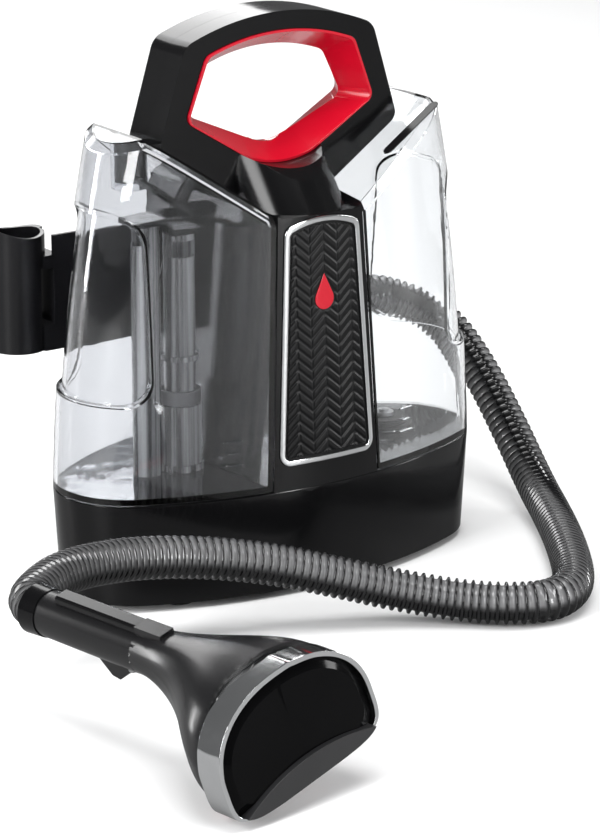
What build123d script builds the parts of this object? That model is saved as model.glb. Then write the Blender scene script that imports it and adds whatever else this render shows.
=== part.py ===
from build123d import *
import math
import os

os.makedirs("parts", exist_ok=True)

# Portable spot extractor. Millimetres, +Z up, -Y is the front, +X is the operator's right.
# The origin is the middle of the centre foot's underside, on the floor.

# ---------------------------------------------------------------- driving sizes
# Body: a lens-shaped footprint that tapers upwards.
FOOT_HALF_W = 138.0        # half width of the base just above the floor
DECK_HALF_W = 142.0        # half width where the base meets the tanks
WAIST_HALF_W = 138.0       # half width of the tanks at WAIST_Z
TOP_HALF_W = 113.0         # half width of the body's taper at TAPER_TOP_Z
FRONT_DEPTH = 67.0         # front of the body at the deck, from the centre plane
REAR_DEPTH = 77.0          # back of the body at the deck
FRONT_LEAN = 10.5          # how far the front leans back from deck to taper top
REAR_LEAN = 12.0           # how far the back leans in
END_R = 45.0               # end radius of the lens
WAIST_Z = 130.0
TAPER_TOP_Z = 285.0

FOOT_H = 5.0               # rubber foot height
FOOT_R = 11.0
DECK_Z = 66.0              # top of the base
BASE_WALL = 3.0
PLATE_T = 3.0
TANK_GAP = 1.0             # free gap below and beside each tank
TANK_WALL = 2.2
TANK_FLOOR = 3.0
WALL = 2.4                 # tower and handle shell

# Tower between the tanks: side walls open out downwards and backwards.
TOWER_TOP_Z = 228.0        # front top edge of the tower
TOWER_HALF_W = 29.5        # half width at the front top edge
TOWER_FLARE_DOWN = 0.05
TOWER_FLARE_BACK = 0.09
TOWER_FRONT_Y = -60.0

# Handle
HEIGHT = 340.0
HANDLE_HALF_D = 17.0
V_ANGLE = 35.0             # slope of the handle's underside and of the tank tops
V_X = 27.0                 # where the slope starts
HANDLE_SIDE_X = 84.0
HANDLE_TOP_X = 66.0
HANDLE_SHOULDER_Z = 326.0
OPEN_TOP_Z = 329.0         # hand opening, outer edge of its liner
OPEN_BOTTOM_Z = 251.0
OPEN_TOP_X = 52.0
OPEN_TOP_CORNER_Z = 319.0
OPEN_SIDE_X = 66.0
OPEN_SIDE_Z = 282.0
OPEN_BOTTOM_X = 22.0
THROAT_INSET = 11.0        # how far the liner narrows to its middle
LINER_PROUD = 1.2
FIT = 0.2                  # gap between fitted covers
SEAM = 0.1                 # gap between the two clamshell halves

# Tanks
TANK_PEAK_X = 101.0        # where the tank top turns down outside the handle
TANK_OUTER_ANGLE = 22.0
TANK_BEVEL = 4.0
GRIP_DEPTH = 3.2           # finger recess on the outer end of each tank
GRIP_X = 107.0
GRIP_Z0 = 126.0
GRIP_Z1 = 234.0

# Moving parts inside
STACK_X = -61.0            # stack tubes in the recovery tank
STACK_R = 9.5
STACK_TOP_Z = 214.0
INLET_X = -84.0
INLET_R = 8.5
INLET_TOP_Z = 222.0
TUBE_WALL = 1.4
FLOAT_TRAVEL = 18.0
VALVE_X = 88.0             # valve under the clean tank
PIN_R = 1.8
RUN_FIT = 0.05             # radial clearance of running fits

MOTOR_Y = 12.0
MOTOR_R = 26.0
MOTOR_LEN = 58.0
FAN_R = 27.0
FAN_Z0 = 88.0
FAN_H = 12.0
SHAFT_R = 3.0
BEARING_R = 7.0
BEARING_T = 5.0
PUMP_X = 78.0
PUMP_Y = 18.0
PUMP_Z = 34.0
PISTON_R = 4.0
PISTON_TRAVEL = 3.0

STACK_BASE_R = 12.8
STACK_BASE_Z = 110.0
FLOAT_H = 9.0
PORT_R = 8.5               # pour port of the recovery tank
DRAIN_X = -92.0
DRAIN_Y = 3.0
DRAIN_Z = 262.0
BAFFLE_X = -74.0
BAFFLE_Y = -22.0
BAFFLE_DEPTH = 22.0
BAFFLE_LEN = 46.0
BAFFLE_W = 20.0
GRIP_ROUND = 16.0
CAP_R = 14.0
PLUNGER_R = 3.0
STRIP_X = 80.0
STRIP_Y = -36.0
STRIP_LEN = 46.0
STRIP_W = 7.0
STRIP_T = 0.6

# Badge on the front
BEZEL_TOP_X = 26.0
BEZEL_BOTTOM_X = 33.5
BEZEL_Z0 = 81.0
BEZEL_Z1 = 222.0
BEZEL_ARCH = 5.0
BEZEL_W = 3.2

BADGE_R = 7.0
BADGE_SINK = 1.1           # depth of the badge's pocket
BEZEL_PROUD = 1.4
DROP_Z = 178.0
DROP_R = 6.5
NOSE_R = 36.0              # plan radius of the brow
NOSE_SETBACK = 1.2
NOSE_RIDGE_Z = 245.0
NOSE_RIDGE_BACK = 13.5     # how far the brow's ridge stands behind its foot
NOSE_BACK_Z = 262.0        # where the brow runs out on the handle's front
SCOOP_R = 22.0
REAR_SLOPE_Y = 48.0
REAR_SLOPE_Z = 256.0

# Rear wall
VENT_COUNT = 7
VENT_Z0 = 140.0
VENT_PITCH = 7.0
VENT_H = 3.0
VENT_HALF_W = 20.0
SWITCH_W = 24.0
SWITCH_H = 16.0
SWITCH_Z = 208.0
GLAND_X = -24.0
GLAND_Z = 88.0
GLAND_R = 8.0
GLAND_BORE_R = 3.5
PORT_X = 36.0
PORT_LEN = 38.0
PORT_BORE_R = 9.5
HOUSING_SCREWS = [(-30, 215), (30, 215), (-36, 110), (20, 92)]

# Base
FOOT_X = 84.0
FOOT_Y = 32.0
SCREW_R = 2.0
BASE_SCREWS = [(-112, 0), (112, 0), (-50, -46), (50, -46), (-50, 54), (50, 54)]
STACK_BORE_R = 8.5
DECK_SEAT_R = 13.0
DUCT_H = 22.0
FAN_BLADES = 9
BARB_R = 3.0

# Tool holder behind the left tank
HOLDER_X = 98.0
HOLDER_FOOT_X = -32.0
HOLDER_Y = 80.5
HOLDER_T = 2.6
HOLDER_Z0 = 129.0
HOLDER_Z1 = 200.0
CUP_X = -114.0
CUP_Y = 97.0
CUP_R = 17.0

# Hose
HOSE_D = 25.0
CUFF_R = 15.5
# Centre line of the hose: out of the rear port, round the right side, along the floor in front,
# up again at the left and round into the grip.
HOSE_ROUTE = [
    (74, 92, 121), (122, 110, 125), (172, 107, 117), (197, 83, 102), (201, 48, 74), (199, 14, 44),
    (191, -24, 17), (170, -68, 12.7), (142, -116, 12.7), (114, -158, 12.7), (95, -178, 12.7),
    (73, -186, 12.7), (51, -176, 12.7), (30, -157, 13.2), (-1, -136, 20), (-32, -121, 30),
    (-70, -106, 42), (-110, -94, 50), (-152, -88, 56), (-190, -86, 58.5), (-216, -89, 58),
    (-232, -98.5, 56.5), (-237.8, -114.3, 56.1),
]

# Hand tool, built upright with its mouth line on X and the grip running back along +Y.
TOOL_AT = (-189.7, -324.1, 14.5)
TOOL_YAW = 10.0
TOOL_ROLL = -14.7
MOUTH_HALF_W = 51.5
MOUTH_H = 59.0
FACE_LEAN = 10.0
GRIP_AXIS_Z = 43.0
GRIP_R = 13.0
GRIP_WALL = 2.2
GRIP_Y0 = 113.0            # joint between tool and grip
GRIP_Y1 = 189.0            # joint between grip and collar
COLLAR_Y1 = 201.0
BAND_Y0 = 1.0
BAND_Y1 = 17.0
BAND_T = 2.6
SECTION_STEPS = 8          # spline points in each quarter of a section across the tool
TOOL_WALL = 2.2
TRIGGER_Y0 = 119.0         # front end, by the pivot
TRIGGER_Y1 = 150.0
TRIGGER_HALF_W = 4.6
TRIGGER_TOP_Z = GRIP_AXIS_Z - GRIP_R + 4.0
TRIGGER_PIVOT_Z = GRIP_AXIS_Z - GRIP_R + 1.0
TRIGGER_PIN_Y = 141.0      # where the trigger meets the valve's pin
PIVOT_R = 1.5
VALVE_Y0 = 134.0
VALVE_Y1 = 150.0
RIDGE_Y0 = 93.0
RIDGE_Y1 = 176.0
RIDGE_HALF_W = 5.0
RIDGE_TOP_Z = GRIP_AXIS_Z + GRIP_R + 4.0
SPIGOT = 4.0
LATCH_Y0 = 88.0
LATCH_Y1 = 106.0
LATCH_HALF_W = 5.0
LIP_H = 13.0
BRUSH_Z = 4.5
BRUSH_LEN = 6.2
BRUSH_HALF_W = 44.0
BRUSH_Y0 = 17.0
BRUSH_Y1 = 29.0

FROM_FOOT = (Align.CENTER, Align.CENTER, Align.MIN)


# ---------------------------------------------------------------- helpers
def lens(z, half_w, front, rear, end_r):
    """Closed lens outline of four tangent arcs at height z."""
    centre_x = half_w - end_r

    def side(depth):
        big = (centre_x ** 2 + depth ** 2 - end_r ** 2) / (2 * (depth - end_r))
        centre_y = depth - big
        reach = big - end_r
        return centre_x + end_r * centre_x / reach, -end_r * centre_y / reach

    fx, fy = side(front)
    rx, ry = side(rear)
    with BuildSketch(Plane.XY.offset(z)) as sk:
        with BuildLine():
            ThreePointArc((-fx, -fy), (0, -front), (fx, -fy))
            ThreePointArc((fx, -fy), (half_w, 0), (rx, ry))
            ThreePointArc((rx, ry), (0, rear), (-rx, ry))
            ThreePointArc((-rx, ry), (-half_w, 0), (-fx, -fy))
        make_face()
    return sk.sketch.faces()[0]


def body_envelope(inset=0.0):
    """The tapered body from the deck up, moved in by inset all round."""
    faces = []
    for z, half_w in ((DECK_Z, DECK_HALF_W), (WAIST_Z, WAIST_HALF_W), (TAPER_TOP_Z, TOP_HALF_W)):
        share = (z - DECK_Z) / (TAPER_TOP_Z - DECK_Z)
        front = FRONT_DEPTH - FRONT_LEAN * share
        rear = REAR_DEPTH - REAR_LEAN * share
        faces.append(lens(z, half_w - inset, front - inset, rear - inset, END_R - inset))
    return loft(faces)


def base_envelope(inset, z0, z1):
    """The base between two heights, moved in by inset."""
    faces = []
    for z in (z0, z1):
        share = (z - FOOT_H) / (DECK_Z - FOOT_H)
        half_w = FOOT_HALF_W + (DECK_HALF_W - FOOT_HALF_W) * share
        front = FRONT_DEPTH - 2.0 * (1 - share)
        rear = REAR_DEPTH - 1.0 * (1 - share)
        faces.append(lens(z, half_w - inset, front - inset, rear - inset, END_R - inset))
    return loft(faces, ruled=True)


def v_plane(sign, shift=0.0):
    """Plane of the handle's sloping underside on one side, moved down by shift."""
    a = math.radians(V_ANGLE)
    normal = (-sign * math.sin(a), 0, math.cos(a))
    return Plane(origin=(sign * V_X - shift * normal[0], 0, TOWER_TOP_Z - shift * normal[2]), z_dir=normal)


def outer_plane(sign, shift=0.0):
    """Plane of the tank's outer top slope, moved down by shift."""
    a = math.radians(TANK_OUTER_ANGLE)
    normal = (sign * math.sin(a), 0, math.cos(a))
    peak_z = TOWER_TOP_Z + (TANK_PEAK_X - V_X) * math.tan(math.radians(V_ANGLE)) - TANK_GAP
    return Plane(origin=(sign * TANK_PEAK_X - shift * normal[0], 0, peak_z - shift * normal[2]), z_dir=normal)


def side_plane(sign, shift=0.0):
    """Plane of the tower's side wall, moved out by shift."""
    normal = (sign, -TOWER_FLARE_BACK, TOWER_FLARE_DOWN)
    return Plane(origin=(sign * (TOWER_HALF_W + shift), TOWER_FRONT_Y, TOWER_TOP_Z), z_dir=normal)


def beyond(plane):
    """A big block that fills the side of a plane that its normal points to."""
    return plane * Box(700, 700, 400, align=FROM_FOOT)


def tower_side(sign, shift=0.0):
    """Everything outside the tower's side wall on one side, the wall moved out by shift."""
    return beyond(side_plane(sign, shift))


def above_v(sign, shift=0.0):
    """Everything above the handle's sloping underside on one side, the slope moved down by shift."""
    return beyond(v_plane(sign, shift))


def above_outer(sign, shift=0.0):
    """Everything above the tank's outer top slope, moved down by shift."""
    return beyond(outer_plane(sign, shift))


def block(x0, x1, y0, y1, z0, z1):
    """Box between two corners."""
    return Pos((x0 + x1) / 2, (y0 + y1) / 2, (z0 + z1) / 2) * Box(x1 - x0, y1 - y0, z1 - z0)


def rod(radius, z0, z1, x=0.0, y=0.0):
    """Vertical cylinder."""
    return Pos(x, y, z0) * Cylinder(radius, z1 - z0, align=FROM_FOOT)


def ring(outer, inner, z0, z1, x=0.0, y=0.0):
    """Vertical ring."""
    return rod(outer, z0, z1, x, y) - rod(inner, z0 - 1, z1 + 1, x, y)


def rod_y(radius, y0, y1, x=0.0, z=0.0):
    """Cylinder along Y."""
    turn = Pos(x, (y0 + y1) / 2, z) * Rot(90, 0, 0)
    return turn * Cylinder(radius, y1 - y0)


def rod_x(radius, x0, x1, y=0.0, z=0.0):
    """Cylinder along X."""
    turn = Pos((x0 + x1) / 2, y, z) * Rot(0, 90, 0)
    return turn * Cylinder(radius, x1 - x0)


def xz_face(corners, bows=None, rounds=None):
    """Face in the XZ plane. corners are (x, z); bows maps an edge to the point its arc passes
    through; rounds maps a corner to its fillet radius."""
    bows = bows or {}
    rounds = rounds or {}
    points = [Vector(x, 0, z) for x, z in corners]
    edges = []
    for i, start in enumerate(points):
        end = points[(i + 1) % len(points)]
        if i in bows:
            edges.append(ThreePointArc(start, Vector(bows[i][0], 0, bows[i][1]), end))
        else:
            edges.append(Line(start, end))
    face = make_face(edges).faces()[0]
    for i, radius in rounds.items():
        near = [v for v in face.vertices() if (Vector(v) - points[i]).length < 1e-3]
        face = face.fillet_2d(radius, near)
    return face


def slab(face, y0, y1):
    """Extrude an XZ face between two places along Y."""
    return Pos(0, y0, 0) * extrude(face, amount=y1 - y0, dir=(0, 1, 0))


# ---------------------------------------------------------------- handle and tower
def handle_outline(inset=0.0):
    """Outline of the handle: the slopes under it, slanted sides and a bowed top."""
    slope = math.tan(math.radians(V_ANGLE))
    up = inset / math.cos(math.radians(V_ANGLE))
    side_x = HANDLE_SIDE_X - inset
    top_x = HANDLE_TOP_X - inset
    side_z = TOWER_TOP_Z + (side_x - V_X) * slope + up
    low_z = TOWER_TOP_Z + up
    top_z = HANDLE_SHOULDER_Z - inset
    corners = [
        (-V_X, low_z), (V_X, low_z), (side_x, side_z),
        (top_x, top_z), (-top_x, top_z), (-side_x, side_z),
    ]
    return xz_face(
        corners,
        bows={3: (0, HEIGHT - inset)},
        rounds={2: 7.0, 3: 12.0 - inset, 4: 12.0 - inset, 5: 7.0},
    )


def opening_outline(grow=0.0):
    """Hexagon-like hand opening with bowed top and bottom, made larger by grow."""
    corners = [
        (OPEN_TOP_X + grow, OPEN_TOP_CORNER_Z + grow * 0.8),
        (OPEN_SIDE_X + grow, OPEN_SIDE_Z),
        (OPEN_BOTTOM_X + grow * 0.4, OPEN_BOTTOM_Z + 4.0 - grow),
    ]
    corners += [(-x, z) for x, z in reversed(corners)]
    bows = {2: (0, OPEN_BOTTOM_Z - grow), 5: (0, OPEN_TOP_Z + grow)}
    return xz_face(corners, bows=bows, rounds={0: 8.0, 1: 6.0, 2: 12.0, 3: 12.0, 4: 6.0, 5: 8.0})


def tower_block(inset=0.0):
    """The tower between the tanks, topped by the same slopes as the handle's underside."""
    body = body_envelope(inset) - tower_side(1, -inset) - tower_side(-1, -inset)
    top = block(-200, 200, -200, 200, TOWER_TOP_Z - inset, 400)
    return body - (top & above_v(1, inset) & above_v(-1, inset))


def nose_block():
    """Rounded brow over the badge, from the handle's front face down to the badge's top."""
    lean = math.degrees(math.atan2(NOSE_RIDGE_BACK, NOSE_RIDGE_Z - TOWER_TOP_Z))
    front = TOWER_FRONT_Y + NOSE_SETBACK
    column = Pos(0, front, TOWER_TOP_Z) * Rot(-lean, 0, 0) * Pos(0, NOSE_R, 0) * Cylinder(NOSE_R, 140)
    brow = column & block(-HANDLE_SIDE_X, HANDLE_SIDE_X, -90, -HANDLE_HALF_D + 1, TOWER_TOP_Z - 1, HEIGHT)
    rise = NOSE_BACK_Z - NOSE_RIDGE_Z
    run = -HANDLE_HALF_D - (front + NOSE_RIDGE_BACK)
    brow -= beyond(Plane(origin=(0, front + NOSE_RIDGE_BACK, NOSE_RIDGE_Z), z_dir=(0, -rise, run)))
    return brow - tower_side(1) - tower_side(-1)


def rear_brow():
    """Plain slope behind the handle that carries the switch."""
    wedge = Plane.YZ * make_face(
        Polyline(
            (HANDLE_HALF_D - 1, TOWER_TOP_Z - 1), (REAR_SLOPE_Y, TOWER_TOP_Z - 1),
            (HANDLE_HALF_D - 1, REAR_SLOPE_Z), close=True,
        )
    )
    body = extrude(wedge, amount=V_X, both=True)
    return body


def badge_outline(grow=0.0):
    """Badge outline: wider at the bottom, arched on top."""
    corners = [
        (-BEZEL_BOTTOM_X - grow, BEZEL_Z0 - grow),
        (BEZEL_BOTTOM_X + grow, BEZEL_Z0 - grow),
        (BEZEL_TOP_X + grow, BEZEL_Z1 + grow),
        (-BEZEL_TOP_X - grow, BEZEL_Z1 + grow),
    ]
    round_r = BADGE_R + grow
    bow = (0, BEZEL_Z1 + BEZEL_ARCH + grow)
    return xz_face(corners, bows={2: bow}, rounds={0: round_r, 1: round_r, 2: round_r, 3: round_r})


def badge_prism(grow=0.0):
    """Badge outline drawn through the front of the tower."""
    return slab(badge_outline(grow), -110, -30)


def housing():
    """Tower and handle as one hollow shell, before it is cut into its two halves."""
    shell = tower_block() - tower_block(WALL)
    ring_outer = slab(handle_outline(), -HANDLE_HALF_D, HANDLE_HALF_D)
    ring_inner = slab(handle_outline(WALL), -HANDLE_HALF_D + WALL, HANDLE_HALF_D - WALL)
    ring_inner -= slab(opening_outline(FIT + WALL), -HEIGHT, HEIGHT)
    body = ring_outer - ring_inner + shell + nose_block() + rear_brow()
    body -= slab(opening_outline(FIT), -HEIGHT, HEIGHT)
    pocket = badge_prism(FIT) & (body_envelope(-6.0) - body_envelope(BADGE_SINK))
    return body - pocket


def housing_front(body):
    """Front clamshell half."""
    return body & block(-200, 200, -200, -SEAM / 2, 0, 400)


def housing_rear(body):
    """Rear clamshell half with air slots, switch opening, cord gland hole, hose hole and screw holes."""
    half = body & block(-200, 200, SEAM / 2, 200, 0, 400)
    for i in range(VENT_COUNT):
        z = VENT_Z0 + i * VENT_PITCH
        half -= block(-VENT_HALF_W, VENT_HALF_W, 50, 100, z, z + VENT_H)
    half -= block(-SWITCH_W / 2, SWITCH_W / 2, 50, 100, SWITCH_Z - SWITCH_H / 2, SWITCH_Z + SWITCH_H / 2)
    half -= rod_y(GLAND_R + FIT, 50, 100, GLAND_X, GLAND_Z)
    half -= rod_y(PORT_BORE_R, 50, 100, PORT_X, HOSE_ROUTE[0][2])
    for x, z in HOUSING_SCREWS:
        half -= rod_y(SCREW_R, 50, 100, x, z)
    return half


def handle_liner():
    """Red ring round the hand opening, funnelled from both faces to a narrower middle."""
    proud = HANDLE_HALF_D + LINER_PROUD
    body = slab(opening_outline(), -proud, proud)
    for sign in (-1, 1):
        mouth = Pos(0, sign * proud, 0) * opening_outline(-1.4)
        throat = opening_outline(-THROAT_INSET)
        body -= loft([mouth, throat])
    scoop = Pos(0, 0, OPEN_BOTTOM_Z + THROAT_INSET + SCOOP_R - 1.5) * Sphere(SCOOP_R)
    return body - scoop


def bezel():
    """Bright frame round the badge."""
    frame = badge_prism() - badge_prism(-BEZEL_W)
    return frame & (body_envelope(-BEZEL_PROUD) - body_envelope(BADGE_SINK - 0.1))


def badge_panel():
    """Dark panel inside the bezel."""
    return badge_prism(-BEZEL_W - 0.1) & (body_envelope(-0.2) - body_envelope(BADGE_SINK - 0.1))


def badge_mark():
    """Plain water drop set on the panel."""
    tip = DROP_Z + DROP_R * 2.3
    half = DROP_R * math.cos(math.radians(25))
    level = DROP_Z + DROP_R * math.sin(math.radians(25))
    edges = [
        Line((-half, 0, level), (0, 0, tip)),
        Line((0, 0, tip), (half, 0, level)),
        ThreePointArc((half, 0, level), (0, 0, DROP_Z - DROP_R), (-half, 0, level)),
    ]
    drop = slab(make_face(edges), -110, -30)
    return drop & (body_envelope(-0.7) - body_envelope(-0.2))


# ---------------------------------------------------------------- base
def base_tub():
    """Skirt of the base, open below and above."""
    outer = base_envelope(0, FOOT_H - 1.0, DECK_Z)
    inner = base_envelope(BASE_WALL, FOOT_H - 2.0, DECK_Z + 1.0)
    return outer - inner


def base_plate():
    """Bottom plate with screw holes."""
    plate = base_envelope(BASE_WALL + FIT, FOOT_H, FOOT_H + PLATE_T)
    for x, y in BASE_SCREWS:
        plate -= rod(SCREW_R, 0, 20, x, y)
    return plate


def base_screws():
    """Screws through the bottom plate."""
    return [screw(x, y) for x, y in BASE_SCREWS]


def screw(x, y):
    """Pan-head screw pointing up, its head under the plate."""
    head = rod(SCREW_R * 2, FOOT_H - 1.6, FOOT_H, x, y)
    shank = rod(SCREW_R - 0.1, FOOT_H, FOOT_H + 14, x, y)
    slot = block(x - 2.6, x + 2.6, y - 0.4, y + 0.4, FOOT_H - 1.7, FOOT_H - 0.9)
    return head + shank - slot


def rubber_feet():
    """Four corner feet and one in the middle."""
    spots = [(sx * FOOT_X, y) for sx in (-1, 1) for y in (-FOOT_Y, FOOT_Y)] + [(0, 0)]
    return [Pos(x, y, 0) * foot() for x, y in spots]


def foot():
    """Round rubber foot, slightly tapered."""
    return Pos(0, 0, FOOT_H / 2) * Cone(FOOT_R - 1.0, FOOT_R, FOOT_H)


def deck():
    """Top of the base: carries the tower and the tanks."""
    plate = base_envelope(BASE_WALL + FIT, DECK_Z - PLATE_T, DECK_Z)
    plate -= rod(STACK_BORE_R, 0, 100, STACK_X, 0)
    plate -= rod(DECK_SEAT_R, 0, 100, VALVE_X, 0)
    plate -= rod(STACK_BORE_R, 0, 100, 0, MOTOR_Y)
    return plate


def stack_gasket():
    """Rubber face seal under the recovery tank's outlet."""
    return ring(STACK_BORE_R + 4, STACK_BORE_R, DECK_Z, DECK_Z + TANK_GAP - 0.2, STACK_X, 0)


def clean_seat():
    """Seat with the pin that opens the clean tank's valve."""
    seat = rod(DECK_SEAT_R, DECK_Z - 8, DECK_Z, VALVE_X, 0)
    seat += rod(DECK_SEAT_R + 3, DECK_Z - PLATE_T - 2, DECK_Z - PLATE_T, VALVE_X, 0)
    seat -= ring(DECK_SEAT_R - 2, PIN_R + 2, DECK_Z - 4, DECK_Z + 1, VALVE_X, 0)
    seat -= Pos(VALVE_X + 6, 0, DECK_Z - 6) * Cylinder(1.5, 6)
    return seat + rod(PIN_R, DECK_Z - 4, DECK_Z + TANK_GAP - 0.3, VALVE_X, 0)


def air_duct():
    """Moulded duct that joins the tank outlet to the fan through the base."""
    z0, z1 = DECK_Z - PLATE_T - DUCT_H, DECK_Z - PLATE_T
    half = STACK_BORE_R + 2
    outer = block(STACK_X - half, half, -half, MOTOR_Y + half, z0, z1)
    inner = block(STACK_X - half + 2, half - 2, -half + 2, MOTOR_Y + half - 2, z0 + 2, z1 + 1)
    return outer - inner


# ---------------------------------------------------------------- motor and fan
def fan_housing():
    """Scroll cup round the fan with its inlet pipe down to the deck."""
    cup = rod(FAN_R + 6, FAN_Z0 - 5, FAN_Z0 + FAN_H + 4, 0, MOTOR_Y)
    cup -= rod(FAN_R + 3, FAN_Z0 - 2, FAN_Z0 + FAN_H + 5, 0, MOTOR_Y)
    cup += rod(STACK_BORE_R + 2, DECK_Z, FAN_Z0 - 5, 0, MOTOR_Y)
    cup -= rod(STACK_BORE_R, DECK_Z - 1, FAN_Z0, 0, MOTOR_Y)
    return cup - block(-6, 6, MOTOR_Y + FAN_R, MOTOR_Y + FAN_R + 10, FAN_Z0, FAN_Z0 + FAN_H)


def motor_can():
    """Motor case: flange over the fan, tube and end cap with bearing pockets."""
    z0 = FAN_Z0 + FAN_H + 4
    can = rod(FAN_R + 6, z0, z0 + 4, 0, MOTOR_Y) + rod(MOTOR_R, z0, z0 + MOTOR_LEN, 0, MOTOR_Y)
    can -= rod(MOTOR_R - 2, z0 + 4 + BEARING_T, z0 + MOTOR_LEN - BEARING_T - 2, 0, MOTOR_Y)
    can -= rod(BEARING_R, z0 + 2, z0 + MOTOR_LEN - 2, 0, MOTOR_Y)
    return can - rod(SHAFT_R + 0.5, z0 - 1, z0 + MOTOR_LEN + 1, 0, MOTOR_Y)


def motor_bearings():
    """Two bearings in the motor case."""
    z0 = FAN_Z0 + FAN_H + 4
    low = ring(BEARING_R, SHAFT_R + RUN_FIT, z0 + 2, z0 + 2 + BEARING_T, 0, MOTOR_Y)
    top_z = z0 + MOTOR_LEN - 2
    high = ring(BEARING_R, SHAFT_R + RUN_FIT, top_z - BEARING_T, top_z, 0, MOTOR_Y)
    return [low, high]


def motor_stator():
    """Wound stator inside the case."""
    z0 = FAN_Z0 + FAN_H + 4
    return ring(MOTOR_R - 2, MOTOR_R - 9, z0 + 14, z0 + MOTOR_LEN - 12, 0, MOTOR_Y)


def motor_rotor():
    """Shaft with the armature on it."""
    z0 = FAN_Z0 + FAN_H + 4
    shaft = rod(SHAFT_R, FAN_Z0 + 1, z0 + MOTOR_LEN - 2.5, 0, MOTOR_Y)
    return shaft + rod(MOTOR_R - 10, z0 + 16, z0 + MOTOR_LEN - 14, 0, MOTOR_Y)


def fan_wheel():
    """Radial fan with curved-back blades on a disc."""
    wheel = rod(FAN_R, FAN_Z0 + 1, FAN_Z0 + 3, 0, MOTOR_Y) + rod(8, FAN_Z0 + 1, FAN_Z0 + FAN_H, 0, MOTOR_Y)
    for i in range(FAN_BLADES):
        blade = Pos(FAN_R / 2 + 3, 0, 0) * Rot(0, 0, 25) * Box(FAN_R - 9, 1.4, FAN_H - 2)
        wheel += Pos(0, MOTOR_Y, FAN_Z0 + 2 + (FAN_H - 2) / 2) * Rot(0, 0, 360 * i / FAN_BLADES) * blade
    return wheel - rod(SHAFT_R, FAN_Z0, FAN_Z0 + FAN_H + 1, 0, MOTOR_Y)


def motor_cushion():
    """Rubber ring that holds the motor in the tower."""
    z1 = FAN_Z0 + FAN_H + 4 + MOTOR_LEN
    return ring(MOTOR_R + 4, MOTOR_R, z1 - 14, z1 - 6, 0, MOTOR_Y)


# ---------------------------------------------------------------- pump
def pump_body():
    """Pump block in the base with its bore along X and two hose barbs."""
    body = block(PUMP_X - 20, PUMP_X + 14, PUMP_Y - 12, PUMP_Y + 12, PUMP_Z - 11, PUMP_Z + 11)
    body += rod(12, FOOT_H + PLATE_T, PUMP_Z - 11, PUMP_X, PUMP_Y)
    body += rod(BARB_R, PUMP_Z + 10, PUMP_Z + 18, PUMP_X - 12, PUMP_Y)
    body += rod_y(BARB_R, PUMP_Y + 11, PUMP_Y + 20, PUMP_X - 12, PUMP_Z)
    return body - rod_x(PISTON_R + RUN_FIT, PUMP_X - 6, PUMP_X + 15, PUMP_Y, PUMP_Z)


def pump_coil():
    """Solenoid coil on the end of the pump."""
    tube = rod_x(11, PUMP_X + 14, PUMP_X + 32, PUMP_Y, PUMP_Z)
    return tube - rod_x(PISTON_R + RUN_FIT, PUMP_X + 13, PUMP_X + 33, PUMP_Y, PUMP_Z)


def pump_piston():
    """Piston that shuttles in the pump's bore."""
    return rod_x(PISTON_R, PUMP_X - 6 + PISTON_TRAVEL + 1, PUMP_X + 30, PUMP_Y, PUMP_Z)


def pump_feed():
    """Short feed tube from the clean seat to the pump."""
    z_pump = PUMP_Z + 18
    route = [
        (VALVE_X, 0, DECK_Z - 8), (VALVE_X, 0, DECK_Z - 11),
        (PUMP_X - 12, PUMP_Y, DECK_Z - 11), (PUMP_X - 12, PUMP_Y, z_pump),
    ]
    return tube_along(route, BARB_R, 1.0)


def tube_along(points, radius, bend):
    """Solid round tube along straight runs with equal bends."""
    path = FilletPolyline(*points, radius=bend)
    start = Plane(origin=path @ 0, z_dir=path % 0)
    return sweep(start * Circle(radius), path=path)


# ---------------------------------------------------------------- rear fittings
def rear_y(z):
    """Where the back of the tower stands at height z on the centre line."""
    share = (z - DECK_Z) / (TAPER_TOP_Z - DECK_Z)
    return REAR_DEPTH - REAR_LEAN * share


def switch_frame():
    """Frame of the power switch in the rear wall."""
    y = rear_y(SWITCH_Z)
    frame = block(-SWITCH_W / 2 - 2, SWITCH_W / 2 + 2, y - 2, y + 2.4, SWITCH_Z - SWITCH_H / 2 - 2,
                  SWITCH_Z + SWITCH_H / 2 + 2) - body_envelope()
    box = block(-SWITCH_W / 2 + FIT, SWITCH_W / 2 - FIT, y - 16, y, SWITCH_Z - SWITCH_H / 2 + FIT,
                SWITCH_Z + SWITCH_H / 2 - FIT)
    hole = block(-SWITCH_W / 2 + 1.6, SWITCH_W / 2 - 1.6, y - 12, y + 3, SWITCH_Z - SWITCH_H / 2 + 1.6,
                 SWITCH_Z + SWITCH_H / 2 - 1.6)
    return frame + box - hole


def power_rocker():
    """Rocker of the power switch, bent in the middle, on its pivot line."""
    y = rear_y(SWITCH_Z)
    half_h = SWITCH_H / 2 - 2.4
    half_w = SWITCH_W / 2 - 2.2
    face = Plane.YZ * make_face(
        Polyline(
            (y - 5, SWITCH_Z - half_h), (y + 0.4, SWITCH_Z - half_h), (y + 1.2, SWITCH_Z),
            (y + 3.6, SWITCH_Z + half_h - 0.6), (y - 4, SWITCH_Z + half_h - 1.2), close=True,
        )
    )
    return extrude(face, amount=half_w, both=True)


def cord_gland():
    """Strain-relief gland where a mains lead would leave the tower; no lead is fitted."""
    y = rear_y(GLAND_Z)
    body = rod_y(GLAND_R, y - 6, y + 2, GLAND_X, GLAND_Z)
    nose = Pos(GLAND_X, y + 2 + 9, GLAND_Z) * Rot(-90, 0, 0) * Cone(GLAND_R - 1, GLAND_R - 3.2, 18)
    return body + nose - rod_y(GLAND_BORE_R, y - 10, y + 30, GLAND_X, GLAND_Z)


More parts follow.
